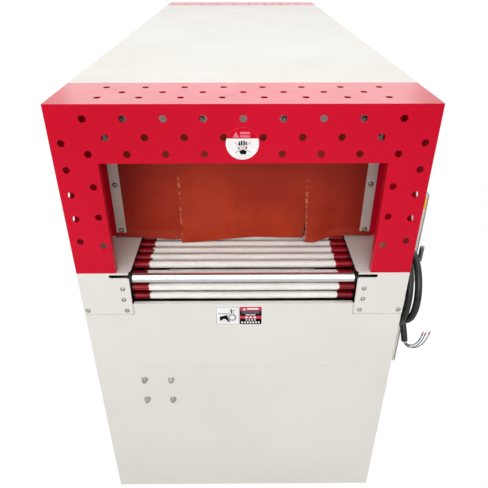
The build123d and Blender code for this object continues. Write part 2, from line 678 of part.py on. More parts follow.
def conveyor_noses():
    phase_angle = TURN * PHASE / ROD_PITCH
    front_first = 90 + TURN - phase_angle
    rear_first = 90 - phase_angle
    ends = (("front", NOSE_Y, front_first, TURN), ("rear", REAR_NOSE_Y, rear_first, -TURN))
    for name, centre, first, step in ends:
        places = nose_rods(centre, first, step)
        low, high = sorted((first, first + (NOSE_RODS - 1) * step))
        save(f"{name}_nose_chain", *rod_cores(places), *wrapped_chain(centre, low, high))
        save(f"{name}_nose_tubes", *tubes(places))
        save(f"{name}_nose_sleeves", *sleeves(places))


def sprocket(teeth, pitch_radius, tip, width, bore, x, y, z, start=0.0):
    """Toothed disc about the X axis, with a hub."""
    step = 2 * math.pi / teeth
    root, top = pitch_radius - TOOTH_ROOT, pitch_radius + tip
    points = []
    for i in range(teeth):
        middle = i * step + math.radians(start)
        for radius, share in zip((root, top, top, root), TOOTH_SHAPE):
            a = middle + share * step
            points.append((y + radius * math.cos(a), z + radius * math.sin(a)))
    disc = sheet_yz(make_face(Polyline(*points, close=True)), x - width / 2, width)
    disc += rod(bore + HUB[0], x - width / 2 - HUB[1], x + width / 2 + HUB[1], y, z)
    return disc - rod(bore, x - 2 * width, x + 2 * width, y, z)


def sprocket_shafts():
    middle = CORE_HALF + CHAIN_W / 2
    for name, centre in (("front", NOSE_Y), ("rear", REAR_NOSE_Y)):
        y = at(centre)
        plain_end = RAIL_X + RAIL + BEARING[1] + SHAFT_END
        low = DRIVE_X - DRIVE_SHAFT_END if name == "front" else -plain_end
        shaft = rod(SHAFT_D / 2, low, plain_end, y, NOSE_Z)
        wheels = [sprocket(TEETH, PITCH_R, TOOTH_TIP, SPROCKET_W, SHAFT_D / 2, side * middle, y, NOSE_Z)
                  for side in (-1, 1)]
        if name == "front":
            wheels.append(sprocket(DRIVE_TEETH[1], DRIVE_R[1], *DRIVE_WHEEL, SHAFT_D / 2, DRIVE_X, y, NOSE_Z))
        save(f"{name}_sprocket_shaft", shaft, *wheels)


def conveyor_rails():
    """Pressed channel each side, carrying the bearings and the wear strips."""
    y = (at(RAIL_START), -at(RAIL_START))
    rail = slab((RAIL_X, RAIL_X + RAIL), y, (RAIL_BOTTOM, DECK_Z - PLATE))
    rail += slab((RAIL_X, RAIL_X + RAIL_FLANGE), y, (RAIL_BOTTOM, RAIL_BOTTOM + RAIL))
    rail += slab((RAIL_X, RAIL_X + RAIL_FLANGE), y, (DECK_Z - PLATE - RAIL, DECK_Z - PLATE))
    for centre in (NOSE_Y, REAR_NOSE_Y):
        rail -= rod(SHAFT_D / 2 + RAIL_BORE_CLEAR, RAIL_X - PAST, RAIL_X + RAIL + PAST, at(centre), NOSE_Z)
    save("conveyor_rails", rail, other_side(rail))


def wear_strips():
    """Slippery strips that the chains run on, over and under."""
    wide, high = WEAR
    y = (at(NOSE_Y + WEAR_START), at(REAR_NOSE_Y - WEAR_START))
    x = (RAIL_X - wide, RAIL_X)
    below_chain = CHAIN_H / 2 + WEAR_CLEAR
    upper_z = NOSE_Z + PITCH_R - below_chain
    lower_z = NOSE_Z - PITCH_R - below_chain
    strips = [slab(x, y, (z - high, z)) for z in (upper_z, lower_z)]
    save("wear_strips", *strips, *[other_side(s) for s in strips])


def shaft_bearings():
    size, thick = BEARING
    x_low = RAIL_X + RAIL
    units = []
    for centre in (NOSE_Y, REAR_NOSE_Y):
        y = at(centre)
        body = rod(BEARING_BODY_R, x_low, x_low + thick, y, NOSE_Z)
        half = BEARING_FLANGE[0] / 2
        flange_z = (NOSE_Z - size / 2, NOSE_Z + size / 2)
        flange = slab((x_low, x_low + BEARING_FLANGE[1]), (y - half, y + half), flange_z)
        unit = body + flange - rod(SHAFT_D / 2 + RUNNING, x_low - PAST, x_low + thick + PAST, y, NOSE_Z)
        units += [unit, other_side(unit)]
    save("shaft_bearings", *units)


# ---------------------------------------------------------------- transfer rollers

def transfer_rollers():
    y = at(ROLLER_Y)
    roller = rod(ROLLER_D / 2, -ROLLER_HALF, ROLLER_HALF, y, ROLLER_Z)
    ends = roller.edges().filter_by(GeomType.CIRCLE)
    roller = chamfer(ends, ROLLER_CHAMFER)
    reach = BRACKET_X + BRACKET
    roller += rod(STUB_D / 2, -reach, reach, y, ROLLER_Z)
    save("front_transfer_roller", roller)
    save("rear_transfer_roller", other_end(roller))
    low, foot_top, top = BRACKET_Z
    panel_back = SKIN_Y + SKIN
    leg = slab((BRACKET_X, BRACKET_X + BRACKET), (at(panel_back), at(BRACKET_BACK)), (low, top))
    leg -= rod(STUB_D / 2 + RUNNING, BRACKET_X - PAST, BRACKET_X + BRACKET + PAST, y, ROLLER_Z)
    foot = slab((BRACKET_X - BRACKET_FOOT, BRACKET_X + BRACKET), (at(panel_back), at(panel_back + BRACKET)),
                (low, foot_top))
    bracket = leg + foot
    for x, z in BRACKET_SCREWS:
        bracket -= peg(SCREW_R, x, at(0), at(panel_back + BRACKET + PAST), z)
    save("roller_brackets", *all_corners(bracket))


# ---------------------------------------------------------------- drive

def gearmotor():
    """Worm gearbox bolted behind the front panel, with its motor lying along X."""
    wide, deep, high = GEARBOX
    y_plate = at(SKIN_Y + SKIN)
    y_box = y_plate + MOTOR_PLATE
    box_x = (MOTOR_X - wide / 2, MOTOR_X + wide / 2)
    box = slab(box_x, (y_box, y_box + deep), (MOTOR_Z - high / 2, MOTOR_Z + high / 2))
    box = fillet(box.edges().filter_by(Axis.X), GEARBOX_R)
    rim, half_high = PLATE_RIM
    plate_x = (box_x[0] - rim, box_x[1] + rim)
    plate = slab(plate_x, (y_plate, y_box), (MOTOR_Z - half_high, MOTOR_Z + half_high))
    long, flange, rise = MOTOR_BODY
    motor = rod(MOTOR_BODY_D / 2, box_x[1], box_x[1] + long, at(MOTOR_Y), MOTOR_Z)
    motor += rod(MOTOR_BODY_D / 2 + rise, box_x[1], box_x[1] + flange, at(MOTOR_Y), MOTOR_Z)
    (first, last), half, high = TERMINAL_BOX
    motor += slab((box_x[1] + first, box_x[1] + last), (at(MOTOR_Y) - half, at(MOTOR_Y) + half),
                  (MOTOR_Z, MOTOR_Z + high))
    unit = box + plate + motor
    unit -= rod(DRIVE_SHAFT_D / 2 + RUNNING, box_x[0] - PAST, box_x[0] + SHAFT_SOCKET, at(MOTOR_Y), MOTOR_Z)
    for x, z in motor_bolt_places():
        unit -= peg(BOLT_D / 2, x, y_plate - PAST, y_box + STUD_IN, z)
    save("gearmotor", unit)


def motor_sprocket():
    box_low = MOTOR_X - GEARBOX[0] / 2
    y = at(MOTOR_Y)
    shaft = rod(DRIVE_SHAFT_D / 2, DRIVE_X - DRIVE_SHAFT_END, box_low + SHAFT_SOCKET - 2 * PAST, y, MOTOR_Z)
    wheel = sprocket(DRIVE_TEETH[0], DRIVE_R[0], *DRIVE_WHEEL, DRIVE_SHAFT_D / 2, DRIVE_X, y, MOTOR_Z)
    save("motor_sprocket", shaft + wheel)


def drive_chain():
    """Roller chain from the gearbox up to the front shaft, open inside for the teeth."""
    wheels = (((at(MOTOR_Y), MOTOR_Z), DRIVE_R[0]), ((at(NOSE_Y), NOSE_Z), DRIVE_R[1]))

    def loop(extra, x, thickness):
        circles = [Pos(*place) * Circle(radius + extra) for place, radius in wheels]
        outline = make_hull([edge for circle in circles for edge in circle.edges()])
        return sheet_yz(outline, x, thickness)

    wide, plate = DRIVE_CHAIN
    half, channel = DRIVE_CHAIN_HALF
    left = DRIVE_X - wide / 2
    chain = loop(half, left, wide) - loop(-half, left - PAST, wide + 2 * PAST)
    save("drive_chain", chain - loop(channel, left + plate, wide - 2 * plate))


def motor_mount_bolts():
    """Studs from the gearbox plate, out through the front panel, each with a washer and nut."""
    face = at(SKIN_Y)
    bolts = []
    for x, z in motor_bolt_places():
        washer_y = face - WASHER[1]
        nut_y = washer_y - NUT[1]
        stud = peg(BOLT_D / 2, x, nut_y - STUD_END, at(SKIN_Y + SKIN) + MOTOR_PLATE + STUD_IN, z)
        hexagon_nut = RegularPolygon(NUT[0] / 2, 6, major_radius=False, rotation=NUT_TURN)
        nut = sheet_xz(Pos(x, z) * hexagon_nut, nut_y, NUT[1])
        bolts.append(stud + nut + peg(WASHER[0] / 2, x, washer_y, face, z))
    save("motor_mount_bolts", *bolts)


# ---------------------------------------------------------------- air circulation

def blower():
    low, high = FAN_HOUSING
    motor_r, motor_low = FAN_MOTOR
    inner_r = FAN_HOUSING_R - FAN_WALL
    flange, step = FAN_RIM
    housing = post(FAN_HOUSING_R, 0, 0, low - FAN_WALL, high) - post(inner_r, 0, 0, low, high + PAST)
    housing += (post(FAN_HOUSING_R + flange, 0, 0, high - FAN_WALL, high)
                - post(FAN_HOUSING_R - step, 0, 0, high - FAN_WALL - PAST, high + PAST))
    housing -= post(FAN_SHAFT_D / 2 + FAN_SHAFT_CLEAR, 0, 0, low - FAN_WALL - PAST, low + PAST)
    save("fan_housing", housing)
    (box_in, box_out), box_half, (box_low, box_high) = FAN_TERMINALS
    motor = post(motor_r, 0, 0, motor_low, low - FAN_WALL)
    motor += slab((box_in, box_out), (-box_half, box_half), (motor_low + box_low, motor_low + box_high))
    motor -= post(FAN_SHAFT_D / 2 + RUNNING, 0, 0, low - FAN_SHAFT_IN, low)
    save("fan_motor", motor)
    plate_low, plate = FAN_PLATE
    hub_r, hub_low, hub_high = FAN_HUB
    wheel = post(FAN_R, 0, 0, low + plate_low, low + plate_low + plate)
    wheel += post(hub_r, 0, 0, low + hub_low, low + hub_high)
    long, thick, tall, angle = FAN_BLADE
    for i in range(FAN_BLADES):
        middle_z = low + plate_low + plate + tall / 2
        blade = Pos(FAN_R - FAN_BLADE_IN, 0, middle_z) * Rot(0, 0, angle) * Box(long, thick, tall)
        wheel += Rot(0, 0, i * 360 / FAN_BLADES) * blade
    wheel += post(FAN_SHAFT_D / 2, 0, 0, low - FAN_SHAFT_IN + 2 * PAST, low + hub_high + HUB[1])
    save("fan_impeller", wheel)


# ---------------------------------------------------------------- control box

def control_box():
    """Sheet box on the right side, closed by a hinged door; glands enter its front face."""
    y = (at(BOX_Y), at(BOX_Y + BOX_LENGTH))
    face_x = DOOR_X - SKIN - DOOR_GAP
    outer = slab((HALF_W, face_x), y, BOX_Z)
    t = BOX_SHEET
    inner = slab((HALF_W + t, face_x + PAST), (y[0] + t, y[1] - t), (BOX_Z[0] + t, BOX_Z[1] - t))
    lead_out, _, lead_z = LEAD_ROUTE[0]
    lead_hole = peg(CABLE_D / 2 + 1, HALF_W + lead_out, y[0] - PAST, y[0] + t + PAST, lead_z)
    save("control_box", outer - inner - lead_hole)


def hinge_set(x, y, heights, leaf):
    """Hinge pins standing up at (x, y), each on a leaf; leaf is the (x, y, z) extents it covers."""
    sets = []
    for z in heights:
        pin = post(HINGE_PIN_R, x, y, z - HINGE_LENGTH / 2, z + HINGE_LENGTH / 2)
        barrel = post(HINGE_R, x, y, z - HINGE_LENGTH / 2, z)
        plate = slab(leaf[0], leaf[1], (z - HINGE_LENGTH / 2, z))
        sets.append(pin + barrel + plate)
    return sets


def door_knuckles(door, x, y, heights, arm):
    """Add the door's half of each hinge, bored for its pin."""
    for z in heights:
        door += slab(arm[0], arm[1], (z + HINGE_SPLIT, z + HINGE_LENGTH / 2))
        door += post(HINGE_R, x, y, z + HINGE_SPLIT, z + HINGE_LENGTH / 2)
    for z in heights:
        door -= post(HINGE_PIN_R + RUNNING, x, y, z, z + HINGE_LENGTH / 2 + PAST)
    return door


CONTROL_HINGE = (DOOR_X - SKIN / 2, at(BOX_Y + BOX_LENGTH) + HINGE_R + 1)
CONTROL_HINGE_Z = (BOX_Z[0] + HINGE_INSET[0], BOX_Z[1] - HINGE_INSET[0])
SERVICE_HINGE = (-HALF_W - HINGE_R - HINGE_CLEAR, at(SERVICE_Y[1]) + HINGE_R + 1)
SERVICE_HINGE_Z = (SERVICE_Z[0] + HINGE_INSET[1], SERVICE_Z[1] - HINGE_INSET[1])


def doors():
    y = (at(BOX_Y), at(BOX_Y + BOX_LENGTH))
    door = slab((DOOR_X - SKIN, DOOR_X), y, BOX_Z)
    hinge_x, hinge_y = CONTROL_HINGE
    arm = ((DOOR_X - SKIN, DOOR_X), (y[1] - 2, hinge_y))
    door = door_knuckles(door, hinge_x, hinge_y, CONTROL_HINGE_Z, arm)
    handle_out, half, handle_z, inset = DOOR_HANDLE
    grip_out, grip_z = DOOR_HANDLE_GRIP
    handle_y = y[0] + inset
    handle = slab((DOOR_X, DOOR_X + handle_out), (handle_y - half, handle_y + half), handle_z)
    handle -= slab((DOOR_X, DOOR_X + grip_out), (handle_y - half - PAST, handle_y + half + PAST), grip_z)
    door += handle
    bores = ((ISOLATOR, STEM_R[0]), (ESTOP, STEM_R[0]), (START, START[2]), (KNOB, STEM_R[1]))
    for (along, z, _), radius in bores:
        door -= rod(radius + PLUG_CLEAR, DOOR_X - SKIN - PAST, DOOR_X + PAST, at(BOX_MID_Y) + along, z)
    save("control_door", door)
    service_y = (at(SERVICE_Y[0]), at(SERVICE_Y[1]))
    panel = slab((-HALF_W - SKIN, -HALF_W), service_y, SERVICE_Z)
    hinge_x, hinge_y = SERVICE_HINGE
    arm = ((hinge_x, -HALF_W), (service_y[1] - 2, hinge_y))
    panel = door_knuckles(panel, hinge_x, hinge_y, SERVICE_HINGE_Z, arm)
    lock_r, lock_out, lock_in = LOCK
    outside = -HALF_W - SKIN
    panel += rod(lock_r, outside - lock_out, outside, service_y[0] + lock_in, sum(SERVICE_Z) / 2)
    save("service_door", panel)


def door_hinges():
    x, y = CONTROL_HINGE
    box_end = at(BOX_Y + BOX_LENGTH)
    control_leaf = ((x - LEAF_REACH, x), (box_end, y - HINGE_R + HINGE_LEAF - FACE_GAP))
    pins = hinge_set(x, y, CONTROL_HINGE_Z, control_leaf)
    x, y = SERVICE_HINGE
    service_leaf = ((-HALF_W - HINGE_LEAF, -HALF_W), (y, y + LEAF_REACH))
    pins += hinge_set(x, y, SERVICE_HINGE_Z, service_leaf)
    save("door_hinges", *pins)


def controls():
    face = DOOR_X
    mid = at(BOX_MID_Y)
    large, small = STEM_R
    y, z, r = mid + ISOLATOR[0], ISOLATOR[1], ISOLATOR[2]
    half, grip_low, grip_high, in_from_rim = ISOLATOR_GRIP
    knob = rod(r, face + FACE_GAP, face + ISOLATOR_DISC, y, z)
    knob += rod(large, face - STEM_IN[0], face + PAST, y, z)
    grip_z = (z - r + in_from_rim, z + r - in_from_rim)
    knob += slab((face + grip_low, face + grip_high), (y - half, y + half), grip_z)
    save("isolator_handle", knob)
    y, z, r = mid + ESTOP[0], ESTOP[1], ESTOP[2]
    head_low, head_high, rounding = ESTOP_HEAD
    head = rod(r, face + head_low, face + head_high, y, z)
    head = fillet(head.edges().filter_by(GeomType.CIRCLE).sort_by(Axis.X)[-1], rounding)
    save("estop_button", head + rod(large, face - STEM_IN[1], face + head_low + PAST, y, z))
    y, z, r = mid + START[0], START[1], START[2]
    button = rod(r, face - STEM_IN[2], face + START_HEAD[0], y, z)
    save("start_button", fillet(button.edges().filter_by(GeomType.CIRCLE).sort_by(Axis.X)[-1], START_HEAD[1]))
    y, z, r = mid + KNOB[0], KNOB[1], KNOB[2]
    dial = rod(r, face + FACE_GAP, face + KNOB_HEIGHT, y, z)
    dial += rod(small, face - STEM_IN[3], face + PAST, y, z)
    half, mark_low, mark_high, short = KNOB_MARK
    dial += slab((face + mark_low, face + mark_high), (y - half, y + half), (z - half, z + r - short))
    save("speed_knob", dial)


# ---------------------------------------------------------------- mains cable

def rounded_route(points, diameter):
    """Straight runs joined by arcs, each as large as its two runs allow."""
    radii = []
    for before, here, after in zip(points, points[1:], points[2:]):
        run_in, run_out = Vector(*here) - Vector(*before), Vector(*after) - Vector(*here)
        half_turn = math.radians(run_in.get_angle(run_out)) / 2
        radii.append(BEND_SHARE * min(run_in.length, run_out.length) / math.tan(half_turn))
    path = FilletPolyline(*points, radius=radii)
    section = Plane(path @ 0, z_dir=path % 0) * Circle(diameter / 2)
    return sweep(section, path)


def beside(points):
    """Places given outwards from the side panel and back from the front end face."""
    return [(HALF_W + x, at(y), z) for x, y, z in points]


def mains_cable():
    lead_x, lead_y, lead_z = beside(LEAD_ROUTE)[0]
    y = at(BOX_Y)
    collar, step = GLAND_COLLAR
    body = peg(GLAND_R, lead_x, lead_y + collar, y, lead_z)
    body += peg(GLAND_R - step, lead_x, lead_y, lead_y + collar, lead_z)
    nut_r, nut_thick = GLAND_NUT
    nut = sheet_xz(Pos(lead_x, lead_z) * RegularPolygon(nut_r, 6), y - nut_thick, nut_thick)
    save("cable_gland", body + nut)
    hook_z = COIL_Z[1] + COIL_R - COIL_BAND - HOOK_D / 2 - HOOK_GAP
    middle = at(COIL_Y)
    end_x = COIL_X[1] + HOOK_PAST
    thick, half, (under, over) = HOOK_PLATE
    arm = rod(HOOK_D / 2, HALF_W, end_x, middle, hook_z)
    arm += post(HOOK_D / 2, end_x, middle, hook_z - HOOK_D / 2, hook_z + HOOK_UP)
    arm += slab((HALF_W, HALF_W + thick), (middle - half, middle + half), (hook_z - under, hook_z + over))
    save("cable_hook", arm)
    low, high = COIL_Z
    tall = high - low

    def loop(radius):
        return Pos(middle, (low + high) / 2) * SlotCenterToCenter(tall, 2 * radius, rotation=90)

    ring = loop(COIL_R) - loop(COIL_R - COIL_BAND)
    coil = sheet_yz(ring, COIL_X[0], COIL_X[1] - COIL_X[0])
    save("cable_coil", coil)
    save("cable_lead", rounded_route(beside(LEAD_ROUTE), CABLE_D))
    save("cable_tail", rounded_route(beside(TAIL_ROUTE), CABLE_D))
    end_x, end_y, end_z = beside(TAIL_ROUTE)[-1]
    far_x = CORE_ROUTE[-1][0]
    wires = []
    for i in range(WIRE_COUNT):
        turn = math.radians(45 + 360 * i / WIRE_COUNT)
        start_x = end_x + CORE_CIRCLE * math.cos(turn)
        start_y = end_y + CORE_CIRCLE * math.sin(turn)
        spread = 1 + CORE_LONGER * i
        route = [(start_x + spread * x, start_y + spread * y, end_z + 0.5 + spread * z + 1.5 * i * x / far_x)
                 for x, y, z in CORE_ROUTE]
        wires.append(rounded_route(route, WIRE_D))
    save("cable_cores", *wires)


def build():
    os.makedirs("parts", exist_ok=True)
    base_frame()
    end_panels()
    drip_trays()
    side_panels()
    deck_plates()
    corner_covers()
    pan_head_screws()
    hood()
    tunnel_liner()
    insulation()
    heater_tubes()
    guards()
    curtains()
    curtain_clamps()
    conveyor_runs()
    conveyor_noses()
    sprocket_shafts()
    conveyor_rails()
    wear_strips()
    shaft_bearings()
    transfer_rollers()
    gearmotor()
    motor_sprocket()
    drive_chain()
    motor_mount_bolts()
    blower()
    control_box()
    doors()
    door_hinges()
    controls()
    mains_cable()


build()
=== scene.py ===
"""Heat shrink tunnel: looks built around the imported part, in metres, in the part's own frame."""
import math

import bpy
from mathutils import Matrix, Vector, noise


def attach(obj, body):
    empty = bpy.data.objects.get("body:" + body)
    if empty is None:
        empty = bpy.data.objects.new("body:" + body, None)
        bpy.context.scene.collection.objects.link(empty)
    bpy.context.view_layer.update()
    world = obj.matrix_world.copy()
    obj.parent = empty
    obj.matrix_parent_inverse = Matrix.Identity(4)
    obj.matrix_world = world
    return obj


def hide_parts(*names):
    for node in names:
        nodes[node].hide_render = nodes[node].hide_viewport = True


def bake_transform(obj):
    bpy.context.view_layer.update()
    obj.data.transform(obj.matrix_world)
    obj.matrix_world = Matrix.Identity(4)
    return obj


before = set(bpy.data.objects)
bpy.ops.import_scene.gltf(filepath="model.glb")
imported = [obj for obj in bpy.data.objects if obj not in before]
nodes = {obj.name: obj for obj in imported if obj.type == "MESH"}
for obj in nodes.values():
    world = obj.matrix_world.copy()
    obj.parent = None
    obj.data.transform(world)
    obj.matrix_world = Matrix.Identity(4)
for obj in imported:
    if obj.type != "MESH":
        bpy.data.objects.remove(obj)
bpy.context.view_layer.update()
scene = bpy.context.scene
bpy.ops.object.select_all(action="DESELECT")


# ------------------------------------------------------------------ camera
# A person's eye height, a metre in front of the infeed, looking down over the hand guard.

camera_data = bpy.data.cameras.new("camera")
camera_data.sensor_width = 36.0
camera_data.lens = 36.4
camera_data.clip_start = 0.05
camera = bpy.data.objects.new("camera", camera_data)
scene.collection.objects.link(camera)
camera.location = (-0.0052, -1.9994, 1.4621)
camera.rotation_euler = (math.radians(59.07), 0.0, math.radians(-0.378))
scene.camera = camera


# ------------------------------------------------------------------ mains cable
# Heavy rubber cable that leaves a gland low on the control box, goes four times round a hook
# on the hood's side, and ends in a short bare tail with its four conductors curling out.

END_FACE = -1.045           # Y of the infeed end of the machine
CABLE = 0.019
COIL_Y, COIL_Z = -0.863, 0.6425
COIL_TALLER = 0.0225        # the loops are that much longer than wide, each way
COIL_STATIONS = (           # (X, radius) at every quarter turn: bottom, front, top, back
    (0.4160, 0.0935), (0.4100, 0.0920), (0.4050, 0.0836), (0.4075, 0.0800),
    (0.4130, 0.0740), (0.4185, 0.0760), (0.4245, 0.0836), (0.4270, 0.0860),
    (0.4360, 0.0900), (0.4395, 0.0900), (0.4438, 0.0836), (0.4465, 0.0880),
    (0.4560, 0.0790), (0.4635, 0.0900), (0.4634, 0.0836), (0.4660, 0.0900), (0.4700, 0.0860))
STEPS_A_QUARTER = 4
SPLINE_CUTS_IN = 1.02


def srgb(red, green, blue):
    """Linear colour of a paint chip read on a 0 to 255 screen scale."""
    return tuple(c / 12.92 if c <= 0.04045 else ((c + 0.055) / 1.055) ** 2.4
                 for c in (red / 255, green / 255, blue / 255)) + (1.0,)


def wired(material, kind, **settings):
    """A new node in the material's tree, with its inputs set or linked by name."""
    node = material.node_tree.nodes.new(kind)
    for key, value in settings.items():
        if hasattr(node, key) and key not in node.inputs:
            setattr(node, key, value)
            continue
        socket = node.inputs[key.replace("_", " ") if key not in node.inputs else key]
        if isinstance(value, bpy.types.NodeSocket):
            material.node_tree.links.new(value, socket)
        else:
            socket.default_value = value
    return node


def blank_material(name):
    """An empty node material, with its shader and Object coordinates ready to wire."""
    material = bpy.data.materials.new(name)
    material.use_nodes = True
    tree = material.node_tree
    shader = tree.nodes["Principled BSDF"]
    place = tree.nodes.new("ShaderNodeTexCoord").outputs["Object"]
    return material, shader, place


def cloudy(material, place, scale, detail=3.0, rough=0.6, stretch=None):
    """Soft noise over the surface, from 0 to 1; stretch gives it a grain."""
    if stretch:
        place = wired(material, "ShaderNodeMapping", Vector=place, Scale=stretch).outputs["Vector"]
    cloud = wired(material, "ShaderNodeTexNoise", Vector=place, Scale=scale, Detail=detail, Roughness=rough)
    return cloud.outputs["Fac"]


def two_tone(material, amount, low, high, first, second):
    """One colour below low and the other above high, with a soft change between."""
    ramp = wired(material, "ShaderNodeValToRGB", Fac=amount)
    ramp.color_ramp.elements[0].position, ramp.color_ramp.elements[0].color = low, first
    ramp.color_ramp.elements[1].position, ramp.color_ramp.elements[1].color = high, second
    return ramp.outputs["Color"]


def spread(material, amount, low, high):
    """The noise stretched to run from low to high."""
    return wired(material, "ShaderNodeMapRange", Value=amount, **{
        "From Min": 0.3, "From Max": 0.7, "To Min": low, "To Max": high}).outputs["Result"]


def raised(material, height, depth, strength=1.0, under=None):
    """A bump from a height; under is an earlier bump's normal."""
    bump = wired(material, "ShaderNodeBump", Height=height, Distance=depth, Strength=strength)
    if under:
        material.node_tree.links.new(under, bump.inputs["Normal"])
    return bump.outputs["Normal"]


def connect(material, source, target):
    material.node_tree.links.new(source, target)


def multiplied(material, first, second, factor=1.0):
    """One colour darkened or tinted by another."""
    mix = wired(material, "ShaderNodeMix", data_type="RGBA", blend_type="MULTIPLY", Factor=factor)
    connect(material, first, mix.inputs["A"])
    connect(material, second, mix.inputs["B"])
    return mix.outputs["Result"]


def reckoned(material, operation, first, second=0.0):
    """A sum on one or two values; the second may be a plain number."""
    sum_node = wired(material, "ShaderNodeMath", operation=operation)
    connect(material, first, sum_node.inputs[0])
    if isinstance(second, bpy.types.NodeSocket):
        connect(material, second, sum_node.inputs[1])
    else:
        sum_node.inputs[1].default_value = second
    return sum_node.outputs["Value"]


def shader_of(material):
    """The main shader of a finished material."""
    return material.node_tree.nodes["Principled BSDF"]


def moulded(name, light, dark, rough, grain=420.0, depth=0.0002, metal=0.0, coat=0.0):
    """Rubber, plastic or cast metal: mottled colour, uneven gloss and a fine moulded grain."""
    material, shader, place = blank_material(name)
    mottle = cloudy(material, place, 26.0)
    connect(material, two_tone(material, mottle, 0.35, 0.68, dark, light), shader.inputs["Base Color"])
    connect(material, spread(material, cloudy(material, place, 60.0), rough - 0.07, rough + 0.09),
            shader.inputs["Roughness"])
    connect(material, raised(material, cloudy(material, place, grain, 2.0), depth), shader.inputs["Normal"])
    shader.inputs["Metallic"].default_value = metal
    shader.inputs["Coat Weight"].default_value = coat
    return material


def soft_line(name, places, thickness):
    """A cord along one smooth spline through the places it is laid."""
    curve = bpy.data.curves.new(name, "CURVE")
    curve.dimensions = "3D"
    spline = curve.splines.new("NURBS")
    spline.points.add(len(places) - 1)
    for point, place in zip(spline.points, places):
        point.co = (*place, 1.0)
    spline.order_u = 3
    spline.use_endpoint_u = True
    curve.resolution_u = 6
    curve.bevel_depth = thickness / 2
    curve.bevel_resolution = 5
    curve.use_fill_caps = True
    line = bpy.data.objects.new(name, curve)
    scene.collection.objects.link(line)
    return line


def coil_places():
    """Control points of the turns on the hook, from the bottom of the first turn."""
    made = []
    quarters = len(COIL_STATIONS) - 1
    for step in range(STEPS_A_QUARTER * quarters - 1):
        quarter, share = divmod(step / STEPS_A_QUARTER, 1.0)
        (x0, r0), (x1, r1) = COIL_STATIONS[int(quarter)], COIL_STATIONS[int(quarter) + 1]
        ease = share * share * (3 - 2 * share)
        x, r = x0 + (x1 - x0) * ease, (r0 + (r1 - r0) * ease) * SPLINE_CUTS_IN
        turn = -math.pi / 2 * (1 + step / STEPS_A_QUARTER)
        made.append((x, COIL_Y + r * math.cos(turn), COIL_Z + (r + COIL_TALLER) * math.sin(turn)))
    return made


LEAD = ((0.416, 0.257, 0.5265), (0.416, 0.240, 0.5265), (0.4165, 0.223, 0.5265), (0.417, 0.206, 0.5260))
TAIL = ((0.4705, 0.224, 0.5440), (0.4745, 0.203, 0.5180), (0.4810, 0.181, 0.4840), (0.4860, 0.170, 0.4470))
cable_places = [(x, END_FACE + y, z) for x, y, z in LEAD] + coil_places()
cable_places += [(x, END_FACE + y, z) for x, y, z in TAIL]

jacket = moulded("cable_jacket", srgb(34, 35, 38), srgb(20, 21, 23), 0.42, grain=900.0, depth=0.00012)
mains_cable = soft_line("mains_cable", cable_places, CABLE)
mains_cable.data.materials.append(jacket)
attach(mains_cable, "machine")
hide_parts("cable_lead", "cable_coil", "cable_tail")


# ------------------------------------------------------------------ conductors
# Four stripped conductors in grey-blue insulation, each with a red crimped ferrule on its tip.
# They curl out to the right and up, because the cable was cut from a drum.

WIRE, WIRES = 0.003, 4
FROM_MIDDLE, WIDER_EACH, LIFT_EACH = 4.0, 0.12, 1.5     # mm, share, mm: how the curls part
CURL = ((0, 0, 0), (6, -2, -17), (27, -4, -19), (42, -5, -1), (45, -6, 22))
TIP_LENGTH, TIP_RADIUS, PIN_RADIUS, PIN_LENGTH = 0.009, 0.0021, 0.0009, 0.006


def face_along(piece, place, direction):
    """Turns a piece that was made along Z to a direction, at a place, and keeps that in its mesh."""
    turn = Vector(direction).to_track_quat("Z", "Y").to_matrix().to_4x4()
    turn.translation = Vector(place)
    piece.data.transform(turn)
    piece.data.update()


def join_all(pieces, name, finish):
    """Joins pieces into the first of them, under one name and with one finish."""
    bpy.ops.object.select_all(action="DESELECT")
    for piece in pieces:
        piece.select_set(True)
    bpy.context.view_layer.objects.active = pieces[0]
    bpy.ops.object.join()
    whole = bpy.context.active_object
    whole.name = whole.data.name = name
    whole.data.materials.append(finish)
    return whole


def turned(name, rings, sides=24):
    """A turned or moulded round part along Z, from its (height, radius) rings, with closed ends."""
    bpy.ops.object.select_all(action="DESELECT")
    (height, radius), rest = rings[0], rings[1:]
    bpy.ops.mesh.primitive_circle_add(vertices=sides, radius=radius, fill_type="NGON",
                                      location=(0, 0, height))
    piece = bpy.context.active_object
    piece.name = piece.data.name = name
    bpy.ops.object.transform_apply(location=True, rotation=True, scale=True)
    bpy.ops.object.mode_set(mode="EDIT")
    bpy.ops.mesh.select_all(action="SELECT")
    for next_height, next_radius in rest:
        bpy.ops.mesh.extrude_region_move(TRANSFORM_OT_translate={"value": (0, 0, next_height - height)})
        grow = next_radius / radius
        bpy.ops.transform.resize(value=(grow, grow, 1), center_override=(0, 0, next_height))
        height, radius = next_height, next_radius
    bpy.ops.mesh.select_all(action="SELECT")
    bpy.ops.mesh.normals_make_consistent(inside=False)
    bpy.ops.object.mode_set(mode="OBJECT")
    bpy.ops.object.shade_smooth_by_angle(angle=math.radians(40))
    return piece


